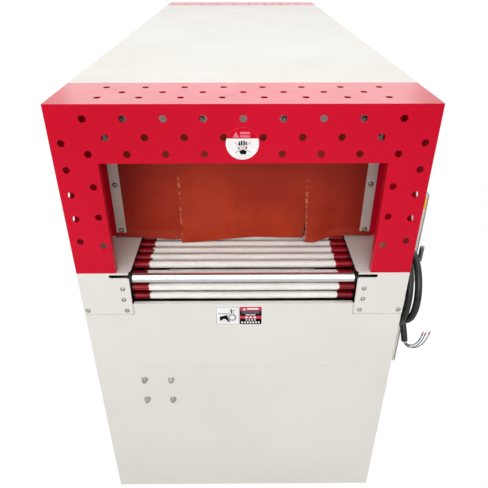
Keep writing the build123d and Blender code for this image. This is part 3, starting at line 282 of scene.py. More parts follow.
insulation_blue = moulded("conductor_insulation", srgb(120, 140, 155), srgb(86, 104, 120), 0.35)
ferrule_red = moulded("ferrule_red", srgb(185, 40, 38), srgb(150, 25, 26), 0.3)
tail_x, tail_y, tail_z = cable_places[-1]
conductors, ferrules = [], []
curl_out = CURL[-1][0]
for i in range(WIRES):
    turn = math.radians(45 + 360 / WIRES * i)
    wider = 1 + WIDER_EACH * i
    route = [(tail_x + (FROM_MIDDLE * math.cos(turn) + wider * x) / 1000,
              tail_y + (FROM_MIDDLE * math.sin(turn) + wider * y) / 1000,
              tail_z + (0.5 + wider * z + LIFT_EACH * i * x / curl_out) / 1000) for x, y, z in CURL]
    conductor = soft_line(f"conductor_{i + 1}", route, WIRE)
    conductor.data.materials.append(insulation_blue)
    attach(conductor, "machine")
    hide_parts("cable_cores")
    pin = TIP_LENGTH * 0.76
    ferrule = turned(f"ferrule_{i + 1}", (
        (-0.001, TIP_RADIUS), (TIP_LENGTH * 0.55, TIP_RADIUS), (TIP_LENGTH * 0.75, PIN_RADIUS * 1.3),
        (pin, PIN_RADIUS), (pin + PIN_LENGTH, PIN_RADIUS)), 12)
    face_along(ferrule, Vector(route[-1]), Vector(route[-1]) - Vector(route[-2]))
    ferrule.data.materials.append(ferrule_red)
    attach(ferrule, "machine")
    conductors.append((conductor, route[0]))
    ferrules.append(ferrule)


# ------------------------------------------------------------------ strain relief
# Ribbed rubber sleeve in the mouth of the cable gland: it tapers onto the cable, so that the
# cable can't be bent sharply where it leaves the control box.

RELIEF_LENGTH, RIBS, RIB_PITCH, RIB_TAPER = 0.034, 5, 0.006, 0.00055
relief_rings = [(-0.004, 0.0128), (0.002, 0.0134)]
for rib in range(RIBS):
    low = 0.003 + rib * RIB_PITCH
    size = 0.0132 - rib * RIB_TAPER
    relief_rings += [(low, size), (low + 0.0032, size - 0.0003),
                     (low + 0.0036, size - 0.0016), (low + 0.0056, size - 0.0018)]
relief_rings += [(RELIEF_LENGTH, 0.0099), (RELIEF_LENGTH + 0.0004, 0.0094)]
strain_relief = turned("strain_relief", relief_rings, 32)
face_along(strain_relief, cable_places[0], (0, -1, 0))
gland_plastic = moulded("gland_plastic", srgb(38, 38, 40), srgb(24, 24, 26), 0.5)
strain_relief.data.materials.append(gland_plastic)
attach(strain_relief, "machine")


# ------------------------------------------------------------------ sheet metal in white
# Base cabinet, hood and control box: folded 1.5 mm steel, powder coated in a warm white.
# The coat has a fine orange peel and picks up faint grey handling marks.

WHITE, WHITE_SHADE = srgb(231, 228, 222), srgb(225, 222, 215)
PEEL = 700.0                # ripples of the powder coat to the metre


def powder_coat(name, light, dark, rough, gloss, peel_depth=0.00006):
    """Satin powder coat: a breath of tone from place to place, orange peel and rubbed gloss."""
    material, shader, place = blank_material(name)
    tone = two_tone(material, cloudy(material, place, 2.6, 4.0), 0.36, 0.66, dark, light)
    rubbed = cloudy(material, place, 9.0, 6.0, 0.7)
    marks = two_tone(material, rubbed, 0.66, 0.80, (1, 1, 1, 1), (0.93, 0.92, 0.90, 1))
    connect(material, multiplied(material, tone, marks), shader.inputs["Base Color"])
    connect(material, spread(material, rubbed, rough - 0.05, rough + 0.08), shader.inputs["Roughness"])
    peel = cloudy(material, place, PEEL, 1.0)
    connect(material, raised(material, peel, peel_depth), shader.inputs["Normal"])
    shader.inputs["Specular IOR Level"].default_value = gloss
    return material


def dress(material, *names):
    """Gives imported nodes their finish."""
    for name in names:
        nodes[name].data.materials.clear()
        nodes[name].data.materials.append(material)


white_coat = powder_coat("white_powder_coat", WHITE, WHITE_SHADE, 0.42, gloss=0.08)
dress(white_coat, "front_panel", "rear_panel", "side_base_panels", "corner_covers", "hood_shell",
      "control_box", "control_door", "service_door", "side_cover_plates")


# ------------------------------------------------------------------ hand guards
# Folded steel guards over both mouths, punched with hexagon holes and powder coated crimson,
# like the mouth plates behind them. The coat's clear skin gives the tops a bright sheen.

crimson_coat = powder_coat("crimson_powder_coat", srgb(208, 6, 44), srgb(198, 5, 39), 0.34, gloss=0.05)
crimson_shader = shader_of(crimson_coat)
crimson_shader.inputs["Coat Weight"].default_value = 1.0
crimson_shader.inputs["Coat IOR"].default_value = 1.2
crimson_shader.inputs["Coat Roughness"].default_value = 0.2
dress(crimson_coat, "front_guard", "rear_guard", "mouth_plates")


# ------------------------------------------------------------------ bare metal
# Rolled, drawn and plated parts: clamp strips, brackets, shafts, chains, screws and the liner.

def drawn_metal(name, light, dark, rough, stretch, depth=0.00004, scale=1.0):
    """Metal with a rolling or brushing grain; stretch is fine across the grain and coarse along it."""
    material, shader, place = blank_material(name)
    grain = cloudy(material, place, scale, 4.0, 0.7, stretch)
    cloud = cloudy(material, place, 14.0, 3.0)
    connect(material, two_tone(material, cloud, 0.32, 0.68, dark, light), shader.inputs["Base Color"])
    connect(material, spread(material, grain, rough - 0.08, rough + 0.12), shader.inputs["Roughness"])
    connect(material, raised(material, grain, depth), shader.inputs["Normal"])
    shader.inputs["Metallic"].default_value = 1.0
    return material


strip_metal = drawn_metal("stainless_strip", srgb(222, 213, 204), srgb(206, 197, 188), 0.42, (900, 900, 30))
shader_of(strip_metal).inputs["Metallic"].default_value = 0.35
dress(strip_metal, "curtain_clamps")
dress(drawn_metal("stainless_sheet", srgb(170, 166, 160), srgb(140, 130, 118), 0.38, (700, 20, 700)),
      "tunnel_liner", "heater_tubes")
dress(drawn_metal("bright_steel", srgb(150, 148, 145), srgb(112, 110, 108), 0.36, (25, 800, 800)),
      "conveyor_rails", "front_sprocket_shaft", "rear_sprocket_shaft", "motor_sprocket", "fan_housing",
      "fan_impeller", "cable_hook")
dress(drawn_metal("oiled_chain", srgb(96, 94, 92), srgb(52, 50, 48), 0.34, (300, 120, 300)),
      "top_run_chain", "bottom_run_chain", "front_nose_chain", "rear_nose_chain", "drive_chain")
dress(drawn_metal("zinc_plate", srgb(206, 205, 200), srgb(176, 172, 160), 0.2, (500, 500, 500)),
      "pan_head_screws", "motor_mount_bolts", "door_hinges")
black_iron = moulded("black_iron", srgb(34, 33, 34), srgb(20, 20, 21), 0.6)
# Black on the drip trays is painted shade: a dark sheet under the front rods, so that the gap below the panel
# lip reads as shadow.
dress(black_iron, "base_frame", "fan_motor", "roller_brackets", "drip_trays")
dress(drawn_metal("hard_chrome", srgb(242, 242, 243), srgb(232, 233, 235), 0.28, (40, 900, 900), 0.00001),
      "front_transfer_roller", "rear_transfer_roller")
ROLLER_BODY_HALF = 0.2635
for name in ("front_transfer_roller", "rear_transfer_roller"):
    roller = nodes[name].data
    roller.materials.append(black_iron)
    for face in roller.polygons:
        if abs(face.center.x) > ROLLER_BODY_HALF:
            face.material_index = 1
cast_alloy = moulded("cast_alloy", srgb(150, 154, 156), srgb(126, 130, 133), 0.5, 260.0, 0.0004, metal=0.85)
dress(cast_alloy, "gearmotor", "shaft_bearings")
dress(moulded("green_guide_plastic", srgb(44, 112, 62), srgb(36, 96, 52), 0.45), "wear_strips")
dress(moulded("mineral_wool", srgb(176, 170, 128), srgb(146, 138, 96), 0.95, 200.0, 0.003), "insulation")
dress(gland_plastic, "cable_gland")


# ------------------------------------------------------------------ panel lips
# The white strip bent back along the top edge of each end panel, under the return of the tubes.

LIP_HALF, LIP_TOP, LIP_THICK = 0.2675, 0.7200, 0.0015
LIP_BACK, LIP_DEEP, LIP_ROUNDING = 1.0420, 0.0100, 0.0006


def plain_box(name, middle, size):
    """A box about a middle, with its place and size kept in its mesh."""
    bpy.ops.object.select_all(action="DESELECT")
    bpy.ops.mesh.primitive_cube_add(size=1.0, location=middle)
    box = bpy.context.active_object
    box.name = box.data.name = name
    box.scale = size
    bpy.ops.object.transform_apply(location=True, rotation=True, scale=True)
    return box


def panel_lip(name, end):
    """One strip across the machine behind the top edge of an end panel, its edges rounded."""
    lip = plain_box(name, (0, end * (LIP_BACK - LIP_DEEP / 2), LIP_TOP - LIP_THICK / 2),
                    (2 * LIP_HALF, LIP_DEEP, LIP_THICK))
    edge = lip.modifiers.new("edge", "BEVEL")
    edge.width, edge.segments, edge.limit_method = LIP_ROUNDING, 3, "ANGLE"
    bpy.ops.object.modifier_apply(modifier="edge")
    bpy.ops.object.shade_smooth_by_angle(angle=math.radians(40))
    lip.data.materials.append(white_coat)
    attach(lip, "machine")


panel_lip("front_panel_lip", -1)
panel_lip("rear_panel_lip", 1)


# ------------------------------------------------------------------ painted shadow lines
# A thin grey strip round the lower edge and the inner edge of each corner cover: painted shade, standing in
# for the shadow line along the cover's edge.

BEAD_LOW, BEAD_INNER, BEAD_OUTER, BEAD_TOP = 0.6890, 0.2686, 0.3890, 0.7180
BEAD_HALF, BEAD_THICK = 0.0008, 0.0010


def shadow_line_strips(name, face):
    """A flat strip of painted shade along the lower and inner edges of both covers at one end, as one piece.
    """
    beads = []
    for side in (-1, 1):
        for x0, x1, z_low, z_high in (
                (BEAD_INNER, BEAD_OUTER, BEAD_LOW - BEAD_HALF, BEAD_LOW + BEAD_HALF),
                (BEAD_INNER - BEAD_HALF, BEAD_INNER + 1.5 * BEAD_HALF, BEAD_LOW + BEAD_HALF, BEAD_TOP)):
            beads.append(plain_box(f"{name}_{len(beads)}", (side * (x0 + x1) / 2, face, (z_low + z_high) / 2),
                                   (x1 - x0, BEAD_THICK, z_high - z_low)))
    joined = join_all(beads, name, shadow_line_grey)
    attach(joined, "machine")


# The strips' grey is painted shade along the edge of each cover.
shadow_line_grey = moulded("shadow_line_grey", srgb(196, 192, 184), srgb(180, 176, 168), 0.6, grain=300.0, depth=0.00002)
shadow_line_strips("front_cover_shadow_line", -1.0440)
shadow_line_strips("rear_cover_shadow_line", 1.0440)


# ------------------------------------------------------------------ screw washers
# Thin dark washers under the heads of the cover screws and of the curtain clamp screws: their dark is painted
# shade, a ring of shadow round each head.

COVER_FACE, CLAMP_FACE = -1.045, -0.875
COVER_HEADS = ((0.380, 0.701), (0.285, 0.701), (0.288, 0.765), (0.289, 0.734))
CLAMP_HEADS = ((0.3175, 0.832), (0.3175, 0.960), (0.3175, 1.089), (0.095, 1.125), (0.281, 1.125))
COVER_WASHER, CLAMP_WASHER = 0.0057, 0.0066     # radii
WASHER_THICK, WASHER_ROUNDING = 0.0007, 0.0002


def shade_ring_washers(name, places, face, radius):
    """Flat discs about Y on both ends of the machine, as one piece, just proud of the sheet."""
    discs = []
    for end in (-1, 1):
        for x, z in [(side * x, z) for x, z in places for side in (-1, 1)]:
            disc = turned(f"{name}_disc", ((0, radius), (WASHER_THICK, radius - WASHER_ROUNDING)), 28)
            face_along(disc, (x, -end * face, z), (0, end, 0))
            discs.append(disc)
    # The washers' dark finish is painted shade round the screw heads.
    washers = join_all(discs, name, gland_plastic)
    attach(washers, "machine")


shade_ring_washers("cover_screw_shade_washers", COVER_HEADS, COVER_FACE, COVER_WASHER)
shade_ring_washers("clamp_screw_shade_washers", CLAMP_HEADS, CLAMP_FACE, CLAMP_WASHER)


# ------------------------------------------------------------------ controls
# Isolator, mushroom stop, start button and speed knob on the control box door.

dress(moulded("stop_red", srgb(196, 24, 24), srgb(182, 18, 20), 0.3, coat=0.3), "estop_button")
dress(moulded("start_green", srgb(30, 132, 60), srgb(24, 118, 52), 0.3, coat=0.3), "start_button")
dress(moulded("knob_black", srgb(36, 36, 38), srgb(26, 26, 28), 0.4), "isolator_handle", "speed_knob")


# ------------------------------------------------------------------ conveyor rods
# Steel rods on the chain pins, each inside a glossy red silicone tube. The middle of every top
# rod also wears a woven glass sleeve, soiled by film and cut off unevenly at both ends.

silicone_red = moulded("red_silicone", srgb(164, 12, 30), srgb(120, 5, 18), 0.3, grain=500.0)
shader_of(silicone_red).inputs["Specular IOR Level"].default_value = 0.25
dress(silicone_red, "top_run_tubes", "bottom_run_tubes", "front_nose_tubes", "rear_nose_tubes")

SLEEVE_HALF, SLEEVE_RADIUS, TUBE_RADIUS = 0.234, 0.0089, 0.0085
SLEEVE_SIDES, SLEEVE_CUTS = 20, 44


def woven_sleeve_finish():
    """Off-white braided glass: a fine over-and-under weave, grey smears and rubbed patches."""
    material, shader, place = blank_material("glass_sleeve")
    smear = cloudy(material, place, 1.0, 5.0, 0.65, (9, 34, 34))
    clean = two_tone(material, smear, 0.40, 0.62, srgb(240, 236, 229), srgb(251, 248, 243))
    dirt = two_tone(material, cloudy(material, place, 1.0, 6.0, 0.75, (26, 90, 90)), 0.62, 0.80,
                    (1, 1, 1, 1), (0.45, 0.43, 0.42, 1))
    connect(material, multiplied(material, clean, dirt, 0.75), shader.inputs["Base Color"])
    weave = wired(material, "ShaderNodeTexVoronoi", Vector=place, Scale=650.0).outputs["Distance"]
    shader.inputs["Roughness"].default_value = 0.82
    shader.inputs["Sheen Weight"].default_value = 0.15
    folds = raised(material, cloudy(material, place, 1.0, 3.0, 0.6, (20, 130, 130)), 0.0004)
    connect(material, raised(material, weave, 0.0001, under=folds), shader.inputs["Normal"])
    return material


glass_sleeve = woven_sleeve_finish()


def sleeve_blank():
    """One straight sleeve about the X axis, cut into rings that can crease."""
    bpy.ops.object.select_all(action="DESELECT")
    bpy.ops.mesh.primitive_cylinder_add(vertices=SLEEVE_SIDES, radius=SLEEVE_RADIUS, depth=2 * SLEEVE_HALF,
                                        end_fill_type="NOTHING", rotation=(0, math.pi / 2, 0))
    sleeve = bpy.context.active_object
    bpy.ops.object.transform_apply(location=False, rotation=True, scale=False)
    bpy.ops.object.mode_set(mode="EDIT")
    for cut in range(1, SLEEVE_CUTS):
        bpy.ops.mesh.select_all(action="SELECT")
        x = -SLEEVE_HALF + 2 * SLEEVE_HALF * cut / SLEEVE_CUTS
        bpy.ops.mesh.bisect(plane_co=(x, 0, 0), plane_no=(1, 0, 0))
    bpy.ops.mesh.select_all(action="SELECT")
    bpy.ops.mesh.normals_make_consistent(inside=False)
    bpy.ops.object.mode_set(mode="OBJECT")
    bpy.ops.object.shade_smooth()
    return sleeve


def pull_on(sleeve, y, z, seed):
    """Slides a blank over the rod at (y, z): slack creases, and ragged ends tucked to the tube."""
    for vertex in sleeve.data.vertices:
        x, round_y, round_z = vertex.co
        reach = math.hypot(round_y, round_z)
        round_y, round_z = round_y / reach, round_z / reach
        slack = noise.noise((x * 30 + seed, round_y * 1.2, round_z * 1.2 + seed * 3.1))
        crease = noise.noise((x * 85 - seed * 2.3, round_y * 2.4, round_z * 2.4))
        reach = SLEEVE_RADIUS + 0.0006 * max(slack, -0.3) + 0.0004 * max(crease, -0.4)
        if abs(x) > SLEEVE_HALF - 0.001:
            ragged = noise.noise((round_y * 1.4 + seed, round_z * 1.4, math.copysign(9, x)))
            vertex.co.x = math.copysign(SLEEVE_HALF - 0.002 + 0.004 * ragged, x) + 0.0025 * math.sin(seed * 5)
            reach = TUBE_RADIUS - 0.0001
        vertex.co.y, vertex.co.z = y + reach * round_y, z + reach * round_z


def sleeves_on(name, places, body, node):
    """All the sleeves of one group of rods, as one piece that travels with it."""
    copies = []
    for y, z in places:
        copy = blank_sleeve.copy()
        copy.data = blank_sleeve.data.copy()
        scene.collection.objects.link(copy)
        pull_on(copy, y, z, seed=y * 37.7 + z * 11.3)
        copies.append(copy)
    joined = join_all(copies, name, glass_sleeve)
    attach(joined, body)
    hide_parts(node)


ROD_PITCH, RUN_RODS, FIRST_ROD = 0.03175, 62, 0.0067
NOSE_Y, NOSE_Z, NOSE_RADIUS = -0.9845, 0.7517, 0.040692
blank_sleeve = sleeve_blank()
top_places = [(NOSE_Y + FIRST_ROD + i * ROD_PITCH, NOSE_Z + NOSE_RADIUS) for i in range(RUN_RODS)]
sleeves_on("top_sleeves", top_places, "top_run", "top_run_sleeves")
rear_nose_y = NOSE_Y + RUN_RODS * ROD_PITCH
eighth = math.radians(45)
phase = eighth * FIRST_ROD / ROD_PITCH
for end, middle, first, step in (("front", NOSE_Y, 3 * eighth - phase, eighth),
                                 ("rear", rear_nose_y, 2 * eighth - phase, -eighth)):
    turns = [first + i * step for i in range(4)]
    nose_places = [(middle + NOSE_RADIUS * math.cos(a), NOSE_Z + NOSE_RADIUS * math.sin(a)) for a in turns]
    sleeves_on(f"{end}_turn_sleeves", nose_places, f"{end}_nose", f"{end}_nose_sleeves")
bpy.data.objects.remove(blank_sleeve)


# ------------------------------------------------------------------ heat curtains
# One sheet of orange-brown silicone-coated cloth at each mouth, clamped along its top and
# sides and slit twice, so that its middle flap lifts. The slit edges are curled and frayed.

CLOTH = 0.0016
CLOTH_HALF, CLOTH_TOP, CLOTH_BOTTOM, CLOTH_SIDE_BOTTOM = 0.332, 1.140, 0.8030, 0.8124
PLATE_EDGE = 0.264
SLIT_X, SLIT_TOP, SEAM_Z = 0.160, 0.957, 0.985
CURTAIN_Y = -0.8705
WHOLE, NONE = (1, 1, 1, 1), (0, 0, 0, 1)        # a mask's full and empty colours


def coated_cloth():
    """Silicone-coated glass cloth: woven grain under a dull rubber skin, with painted shade making it darker
    and redder towards the clamps.
    """
    material, shader, place = blank_material("coated_cloth")
    worn = cloudy(material, place, 4.2, 4.0, 0.62)
    tone = two_tone(material, worn, 0.34, 0.70, srgb(160, 39, 18), srgb(192, 62, 28))
    rubbed = cloudy(material, place, 1.0, 5.0, 0.7, (60, 60, 14))
    streaks = two_tone(material, rubbed, 0.35, 0.75, (0.92, 0.90, 0.88, 1), (1.04, 1.05, 1.05, 1))
    where = wired(material, "ShaderNodeSeparateXYZ", Vector=place)
    # Darker and redder towards both sides: painted shade from the guard's side walls.
    from_middle = reckoned(material, "ABSOLUTE", where.outputs["X"])
    shaded_sides = two_tone(material, from_middle, 0.10, 0.34, WHOLE, (0.62, 0.36, 0.34, 1))
    aged = multiplied(material, multiplied(material, tone, streaks), shaded_sides)
    off_slit = reckoned(material, "ABSOLUTE", reckoned(material, "SUBTRACT", from_middle, SLIT_X))
    edge = two_tone(material, off_slit, 0.0006, 0.0016, WHOLE, NONE)
    tuft_noise = cloudy(material, place, 1.0, 2.0, 0.6, (20, 20, 150))
    tufts = two_tone(material, tuft_noise, 0.50, 0.60, NONE, WHOLE)
    below_top = two_tone(material, where.outputs["Z"], SEAM_Z - 0.012, SEAM_Z, WHOLE, NONE)
    frayed = reckoned(material, "MULTIPLY", reckoned(material, "MULTIPLY", edge, tufts), below_top)
    threads = wired(material, "ShaderNodeMix", data_type="RGBA")
    connect(material, frayed, threads.inputs["Factor"])
    connect(material, aged, threads.inputs["A"])
    threads.inputs["B"].default_value = srgb(206, 138, 102)
    connect(material, threads.outputs["Result"], shader.inputs["Base Color"])
    connect(material, spread(material, rubbed, 0.46, 0.66), shader.inputs["Roughness"])
    wefts = [wired(material, "ShaderNodeTexWave", Vector=place, Scale=420.0, Distortion=1.2,
                   bands_direction=direction).outputs["Fac"] for direction in ("X", "Z")]
    weave = reckoned(material, "MULTIPLY", wefts[0], wefts[1])
    ripple = raised(material, cloudy(material, place, 18.0, 3.0), 0.0025)
    connect(material, raised(material, weave, 0.00012, under=ripple), shader.inputs["Normal"])
    shader.inputs["Sheen Weight"].default_value = 0.08
    shader.inputs["Specular IOR Level"].default_value = 0.2
    return material


cloth_finish = coated_cloth()


def smooth(value):
    value = min(max(value, 0.0), 1.0)
    return value * value * (3 - 2 * value)


def near(distance, reach):
    """1 at a slit, easing to 0 a reach away from it."""
    return smooth(1 - distance / reach)


# How the cloth stands out of its plane, in metres, and how far from a slit each curl reaches.
BELLY = 0.0025
HEM_KICK, KICK_Z, KICK_OVER = 0.012, 0.826, 0.014
FLAP_LEFT, FLAP_LEFT_REACH = 0.017, 0.20
FLAP_RIGHT, FLAP_RIGHT_REACH = 0.004, 0.18
PANEL_LEFT, PANEL_LEFT_REACH = 0.002, 0.05
PANEL_RIGHT, PANEL_RIGHT_REACH = 0.027, 0.08
WAVE_LEFT, WAVE_RIGHT = 0.0022, 0.0025
TORN, NARROWED = 0.0011, 0.0035
HEM_DEEP, HEM_RIPPLE = 0.05, 0.0028
FLAP_RISE, RIGHT_RISE, RIGHT_DROP, LEFT_DROP = 0.0035, 0.0045, 0.004, 0.0065


def cloth_lean(x, z, flap):
    """How far the hung cloth stands out of its plane, towards the guard, at a place on it."""
    held = smooth((0.300 - abs(x)) / 0.12) * smooth((CLOTH_TOP - 0.03 - z) / 0.14)
    soft = noise.noise((x * 5.0, z * 6.0, 1.7)) * 0.005 + noise.noise((x * 16.0, z * 12.0, 5.2)) * 0.0013
    lean = held * (BELLY + soft)
    down = smooth((SLIT_TOP - z) / (SLIT_TOP - CLOTH_BOTTOM))
    if flap:
        lean += FLAP_LEFT * down * near(x + SLIT_X, FLAP_LEFT_REACH)
        lean += FLAP_RIGHT * down * near(SLIT_X - x, FLAP_RIGHT_REACH)
        return lean + WAVE_LEFT * down * math.sin(z * 150) * near(x + SLIT_X, 0.02)
    lean += HEM_KICK * smooth((KICK_Z - z) / KICK_OVER) * smooth(0.4 + (abs(x) - SLIT_X) / 0.06)
    if x < 0:
        return lean + PANEL_LEFT * down * near(-SLIT_X - x, PANEL_LEFT_REACH)
    lean += PANEL_RIGHT * down * near(x - SLIT_X, PANEL_RIGHT_REACH)
    return lean + WAVE_RIGHT * down * math.sin(z * 130) * near(x - SLIT_X, 0.015)


def cloth_grid(name, columns, rows, x_range, z_range):
    """A flat grid of cloth, upright across the machine."""
    bpy.ops.object.select_all(action="DESELECT")
    bpy.ops.mesh.primitive_grid_add(x_subdivisions=columns, y_subdivisions=rows, size=1.0,
                                    location=(0, 0, 0), rotation=(math.pi / 2, 0, 0))
    cloth = bpy.context.active_object
    cloth.name = cloth.data.name = name
    bpy.ops.object.transform_apply(location=True, rotation=True, scale=True)
    (x_low, x_high), (z_low, z_high) = x_range, z_range
    for vertex in cloth.data.vertices:
        vertex.co.x = x_low + (vertex.co.x + 0.5) * (x_high - x_low)
        vertex.co.z = z_low + (vertex.co.z + 0.5) * (z_high - z_low)
    return cloth


def cut_away(cloth, unwanted):
    """Deletes the faces whose middles are in the unwanted part."""
    bpy.ops.object.mode_set(mode="EDIT")
    bpy.ops.mesh.select_mode(type="FACE")
    bpy.ops.mesh.select_all(action="DESELECT")
    bpy.ops.object.mode_set(mode="OBJECT")
    for face in cloth.data.polygons:
        face.select = unwanted(face.center.x, face.center.z)
    bpy.ops.object.mode_set(mode="EDIT")
    bpy.ops.mesh.delete(type="FACE")
    bpy.ops.object.mode_set(mode="OBJECT")


def ragged_cut(sideways, z):
    """How far the flap's edge has torn back from the straight cut at this height."""
    torn = TORN * max(0.0, 0.35 + noise.noise((z * 95, 4.4 * sideways, 3.0)))
    narrowed = NARROWED * smooth((0.870 - z) / 0.06) if sideways > 0 else 0.0
    return torn * smooth((SLIT_TOP - z) / 0.02) + narrowed


def hem_lift(sideways, end, flap):
    """How far the hem hangs above its cut line, at a distance across the machine."""
    lift = HEM_RIPPLE * (0.5 + noise.noise((sideways * 11, 3.1 * end, 0.4)))
    if flap:
        return lift + FLAP_RISE * smooth((sideways + SLIT_X) / (2 * SLIT_X))
    if sideways > 0:
        from_slit = sideways - SLIT_X
        return lift + RIGHT_RISE * smooth(from_slit / 0.10) - RIGHT_DROP * near(from_slit, 0.05)
    return lift - LEFT_DROP * smooth((sideways + PLATE_EDGE) / 0.08)


def hang(cloth, end, flap):
    """Leans the cloth as it hangs, ripples its hem, and gives it its thickness."""
    for vertex in cloth.data.vertices:
        x, z = vertex.co.x, vertex.co.z
        sideways = x if end < 0 else -x
        if flap and abs(abs(x) - SLIT_X) < 0.0005 and z < SLIT_TOP:
            vertex.co.x -= math.copysign(ragged_cut(sideways, z), x)
        low = CLOTH_BOTTOM if flap or abs(x) < PLATE_EDGE else CLOTH_SIDE_BOTTOM
        hem = smooth((low + HEM_DEEP - z) / HEM_DEEP)
        vertex.co.z = z + hem * hem_lift(sideways, end, flap)
        vertex.co.y = end * (-CURTAIN_Y + cloth_lean(sideways, z, flap))
    bpy.context.view_layer.objects.active = cloth
    wall = cloth.modifiers.new("wall", "SOLIDIFY")
    wall.thickness, wall.offset = CLOTH, 0.0
    bpy.ops.object.modifier_apply(modifier="wall")
    bpy.ops.object.shade_smooth_by_angle(angle=math.radians(50))
    cloth.data.materials.append(cloth_finish)


CLOTH_COLUMNS, CLOTH_ROWS, FLAP_COLUMNS, FLAP_ROWS = 88, 42, 40, 28
for end, name in ((-1, "front"), (1, "rear")):
    curtain = cloth_grid(f"{name}_curtain_sheet", CLOTH_COLUMNS, CLOTH_ROWS, (-CLOTH_HALF, CLOTH_HALF),
                         (CLOTH_SIDE_BOTTOM, CLOTH_TOP))
    cut_away(curtain, lambda x, z: abs(x) < SLIT_X and z < SEAM_Z)
    hang(curtain, end, flap=False)
    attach(curtain, "machine")
    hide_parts(f"{name}_curtain")
    flap = cloth_grid(f"{name}_flap_sheet", FLAP_COLUMNS, FLAP_ROWS, (-SLIT_X, SLIT_X),
                      (CLOTH_BOTTOM, SEAM_Z))
    hang(flap, end, flap=True)
    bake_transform(flap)
    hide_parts(f"{name}_flap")


# ------------------------------------------------------------------ hand guard sign
# Round self-adhesive sign in the middle of the front guard: a red cap with a plain triangle and
# two plain bars, and a plain black hand under a thin faded cross on the white part.

GUARD_FACE = -1.045
PRINT = 0.00012             # each printed layer, thicker than ink so that it can be cut out


def flat_shape(outline, y, thickness):
    """A thin plate across the machine with this (x, z) outline, its front at y - thickness."""
    bpy.ops.object.select_all(action="DESELECT")
    bpy.ops.mesh.primitive_circle_add(vertices=len(outline), radius=1, fill_type="NGON")
    plate = bpy.context.active_object
    for vertex, (x, z) in zip(plate.data.vertices, outline):
        vertex.co = (x, y, z)
    bpy.ops.object.mode_set(mode="EDIT")
    bpy.ops.mesh.select_all(action="SELECT")
    bpy.ops.mesh.extrude_region_move(TRANSFORM_OT_translate={"value": (0, -thickness, 0)})
    bpy.ops.mesh.select_all(action="SELECT")
    bpy.ops.mesh.normals_make_consistent(inside=False)
    bpy.ops.object.mode_set(mode="OBJECT")
    return plate


def round_outline(x, z, radius, start=0.0, stop=360.0, points=48):
    """Points of a circle or of one part of it."""
    full = abs(stop - start) >= 360.0
    count = points if full else points - 1
    return [(x + radius * math.cos(math.radians(start + (stop - start) * i / count)),
             z + radius * math.sin(math.radians(start + (stop - start) * i / count))) for i in range(points)]


def bar_outline(x0, z0, x1, z1, width):
    """A straight bar between two places, with rounded ends."""
    angle = math.degrees(math.atan2(z1 - z0, x1 - x0))
    return (round_outline(x1, z1, width / 2, angle - 90, angle + 90, 7)
            + round_outline(x0, z0, width / 2, angle + 90, angle + 270, 7))


def card_outline(x_low, x_high, z_low, z_high, corner):
    """A rectangle with rounded corners."""
    outline = []
    for x, z, start in ((x_high, z_low, -90), (x_high, z_high, 0), (x_low, z_high, 90), (x_low, z_low, 180)):
        middle_x = x - math.copysign(corner, x - (x_low + x_high) / 2)
        middle_z = z - math.copysign(corner, z - (z_low + z_high) / 2)
        outline += round_outline(middle_x, middle_z, corner, start, start + 90, 6)
    return outline


def printed(name, outlines, y, layer, finish):
    """Shapes of one colour on a sign, cut out and joined; layer counts up from the sheet metal."""
    parts = [flat_shape(outline, y - (layer - 1) * PRINT, PRINT) for outline in outlines]
    sign = join_all(parts, name, finish)
    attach(sign, "machine")
    return sign


def print_film(name, light, dark, rough=0.35):
    """Thin printed vinyl, nearly smooth."""
    return moulded(name, light, dark, rough, grain=300.0, depth=0.00002)


film_white = print_film("film_white", srgb(246, 244, 242), srgb(238, 236, 236), 0.3)
film_red = print_film("film_red", srgb(204, 8, 40), srgb(196, 6, 36), 0.3)
film_black = print_film("film_black", srgb(16, 15, 16), srgb(10, 10, 11))
for film in (film_red, film_black):
    shader_of(film).inputs["Specular IOR Level"].default_value = 0.08
film_band = print_film("film_band", srgb(214, 44, 70), srgb(204, 38, 62), 0.3)
film_slate = print_film("film_slate", srgb(104, 94, 112), srgb(88, 80, 96), 0.4)
film_rim = print_film("film_rim", srgb(236, 40, 66), srgb(228, 34, 58), 0.3)
film_faded = print_film("film_faded", srgb(176, 96, 112), srgb(160, 84, 100), 0.4)
film_grey = print_film("film_grey", srgb(150, 148, 156), srgb(132, 130, 140))
film_pink = print_film("film_pink", srgb(238, 118, 138), srgb(230, 104, 126))

SIGN_X, SIGN_Z, SIGN_RADIUS = -0.0021, 1.1251, 0.0335
CAP_ANGLE, RIM = 19.0, 0.0008


def on_sign(outline):
    """Moves an outline drawn about the sign's middle to its place."""
    return [(SIGN_X + x, SIGN_Z + z) for x, z in outline]


printed("guard_sign_disc", [on_sign(round_outline(0, 0, SIGN_RADIUS, 180 - CAP_ANGLE, 360 + CAP_ANGLE, 40))],
        GUARD_FACE, 1, film_white)
printed("guard_sign_rim", [on_sign(round_outline(0, 0, SIGN_RADIUS, CAP_ANGLE, 180 - CAP_ANGLE, 30))],
        GUARD_FACE, 1, film_rim)
cap = round_outline(0, 0, SIGN_RADIUS - RIM, CAP_ANGLE + 0.5, 179.5 - CAP_ANGLE, 30)
printed("guard_sign_cap", [on_sign(cap)], GUARD_FACE, 2, film_red)
triangle = [(-0.0196, 0.0130), (-0.0129, 0.0250), (-0.0062, 0.0130)]
bar = card_outline(-0.0045, 0.0156, 0.0130, 0.0246, 0.0016)
printed("guard_sign_marks", [on_sign(triangle), on_sign(bar)], GUARD_FACE, 3, film_pink)
split = card_outline(-0.0045, 0.0156, 0.0178, 0.0198, 0.0002)
printed("guard_sign_nicks", [on_sign(split)], GUARD_FACE, 4, film_red)
fingers = [(-0.0062, 0.0032, -0.0058, -0.0030), (-0.0016, 0.0052, -0.0014, -0.0024),
           (0.0034, 0.0052, 0.0032, -0.0024), (0.0078, 0.0026, 0.0074, -0.0006)]
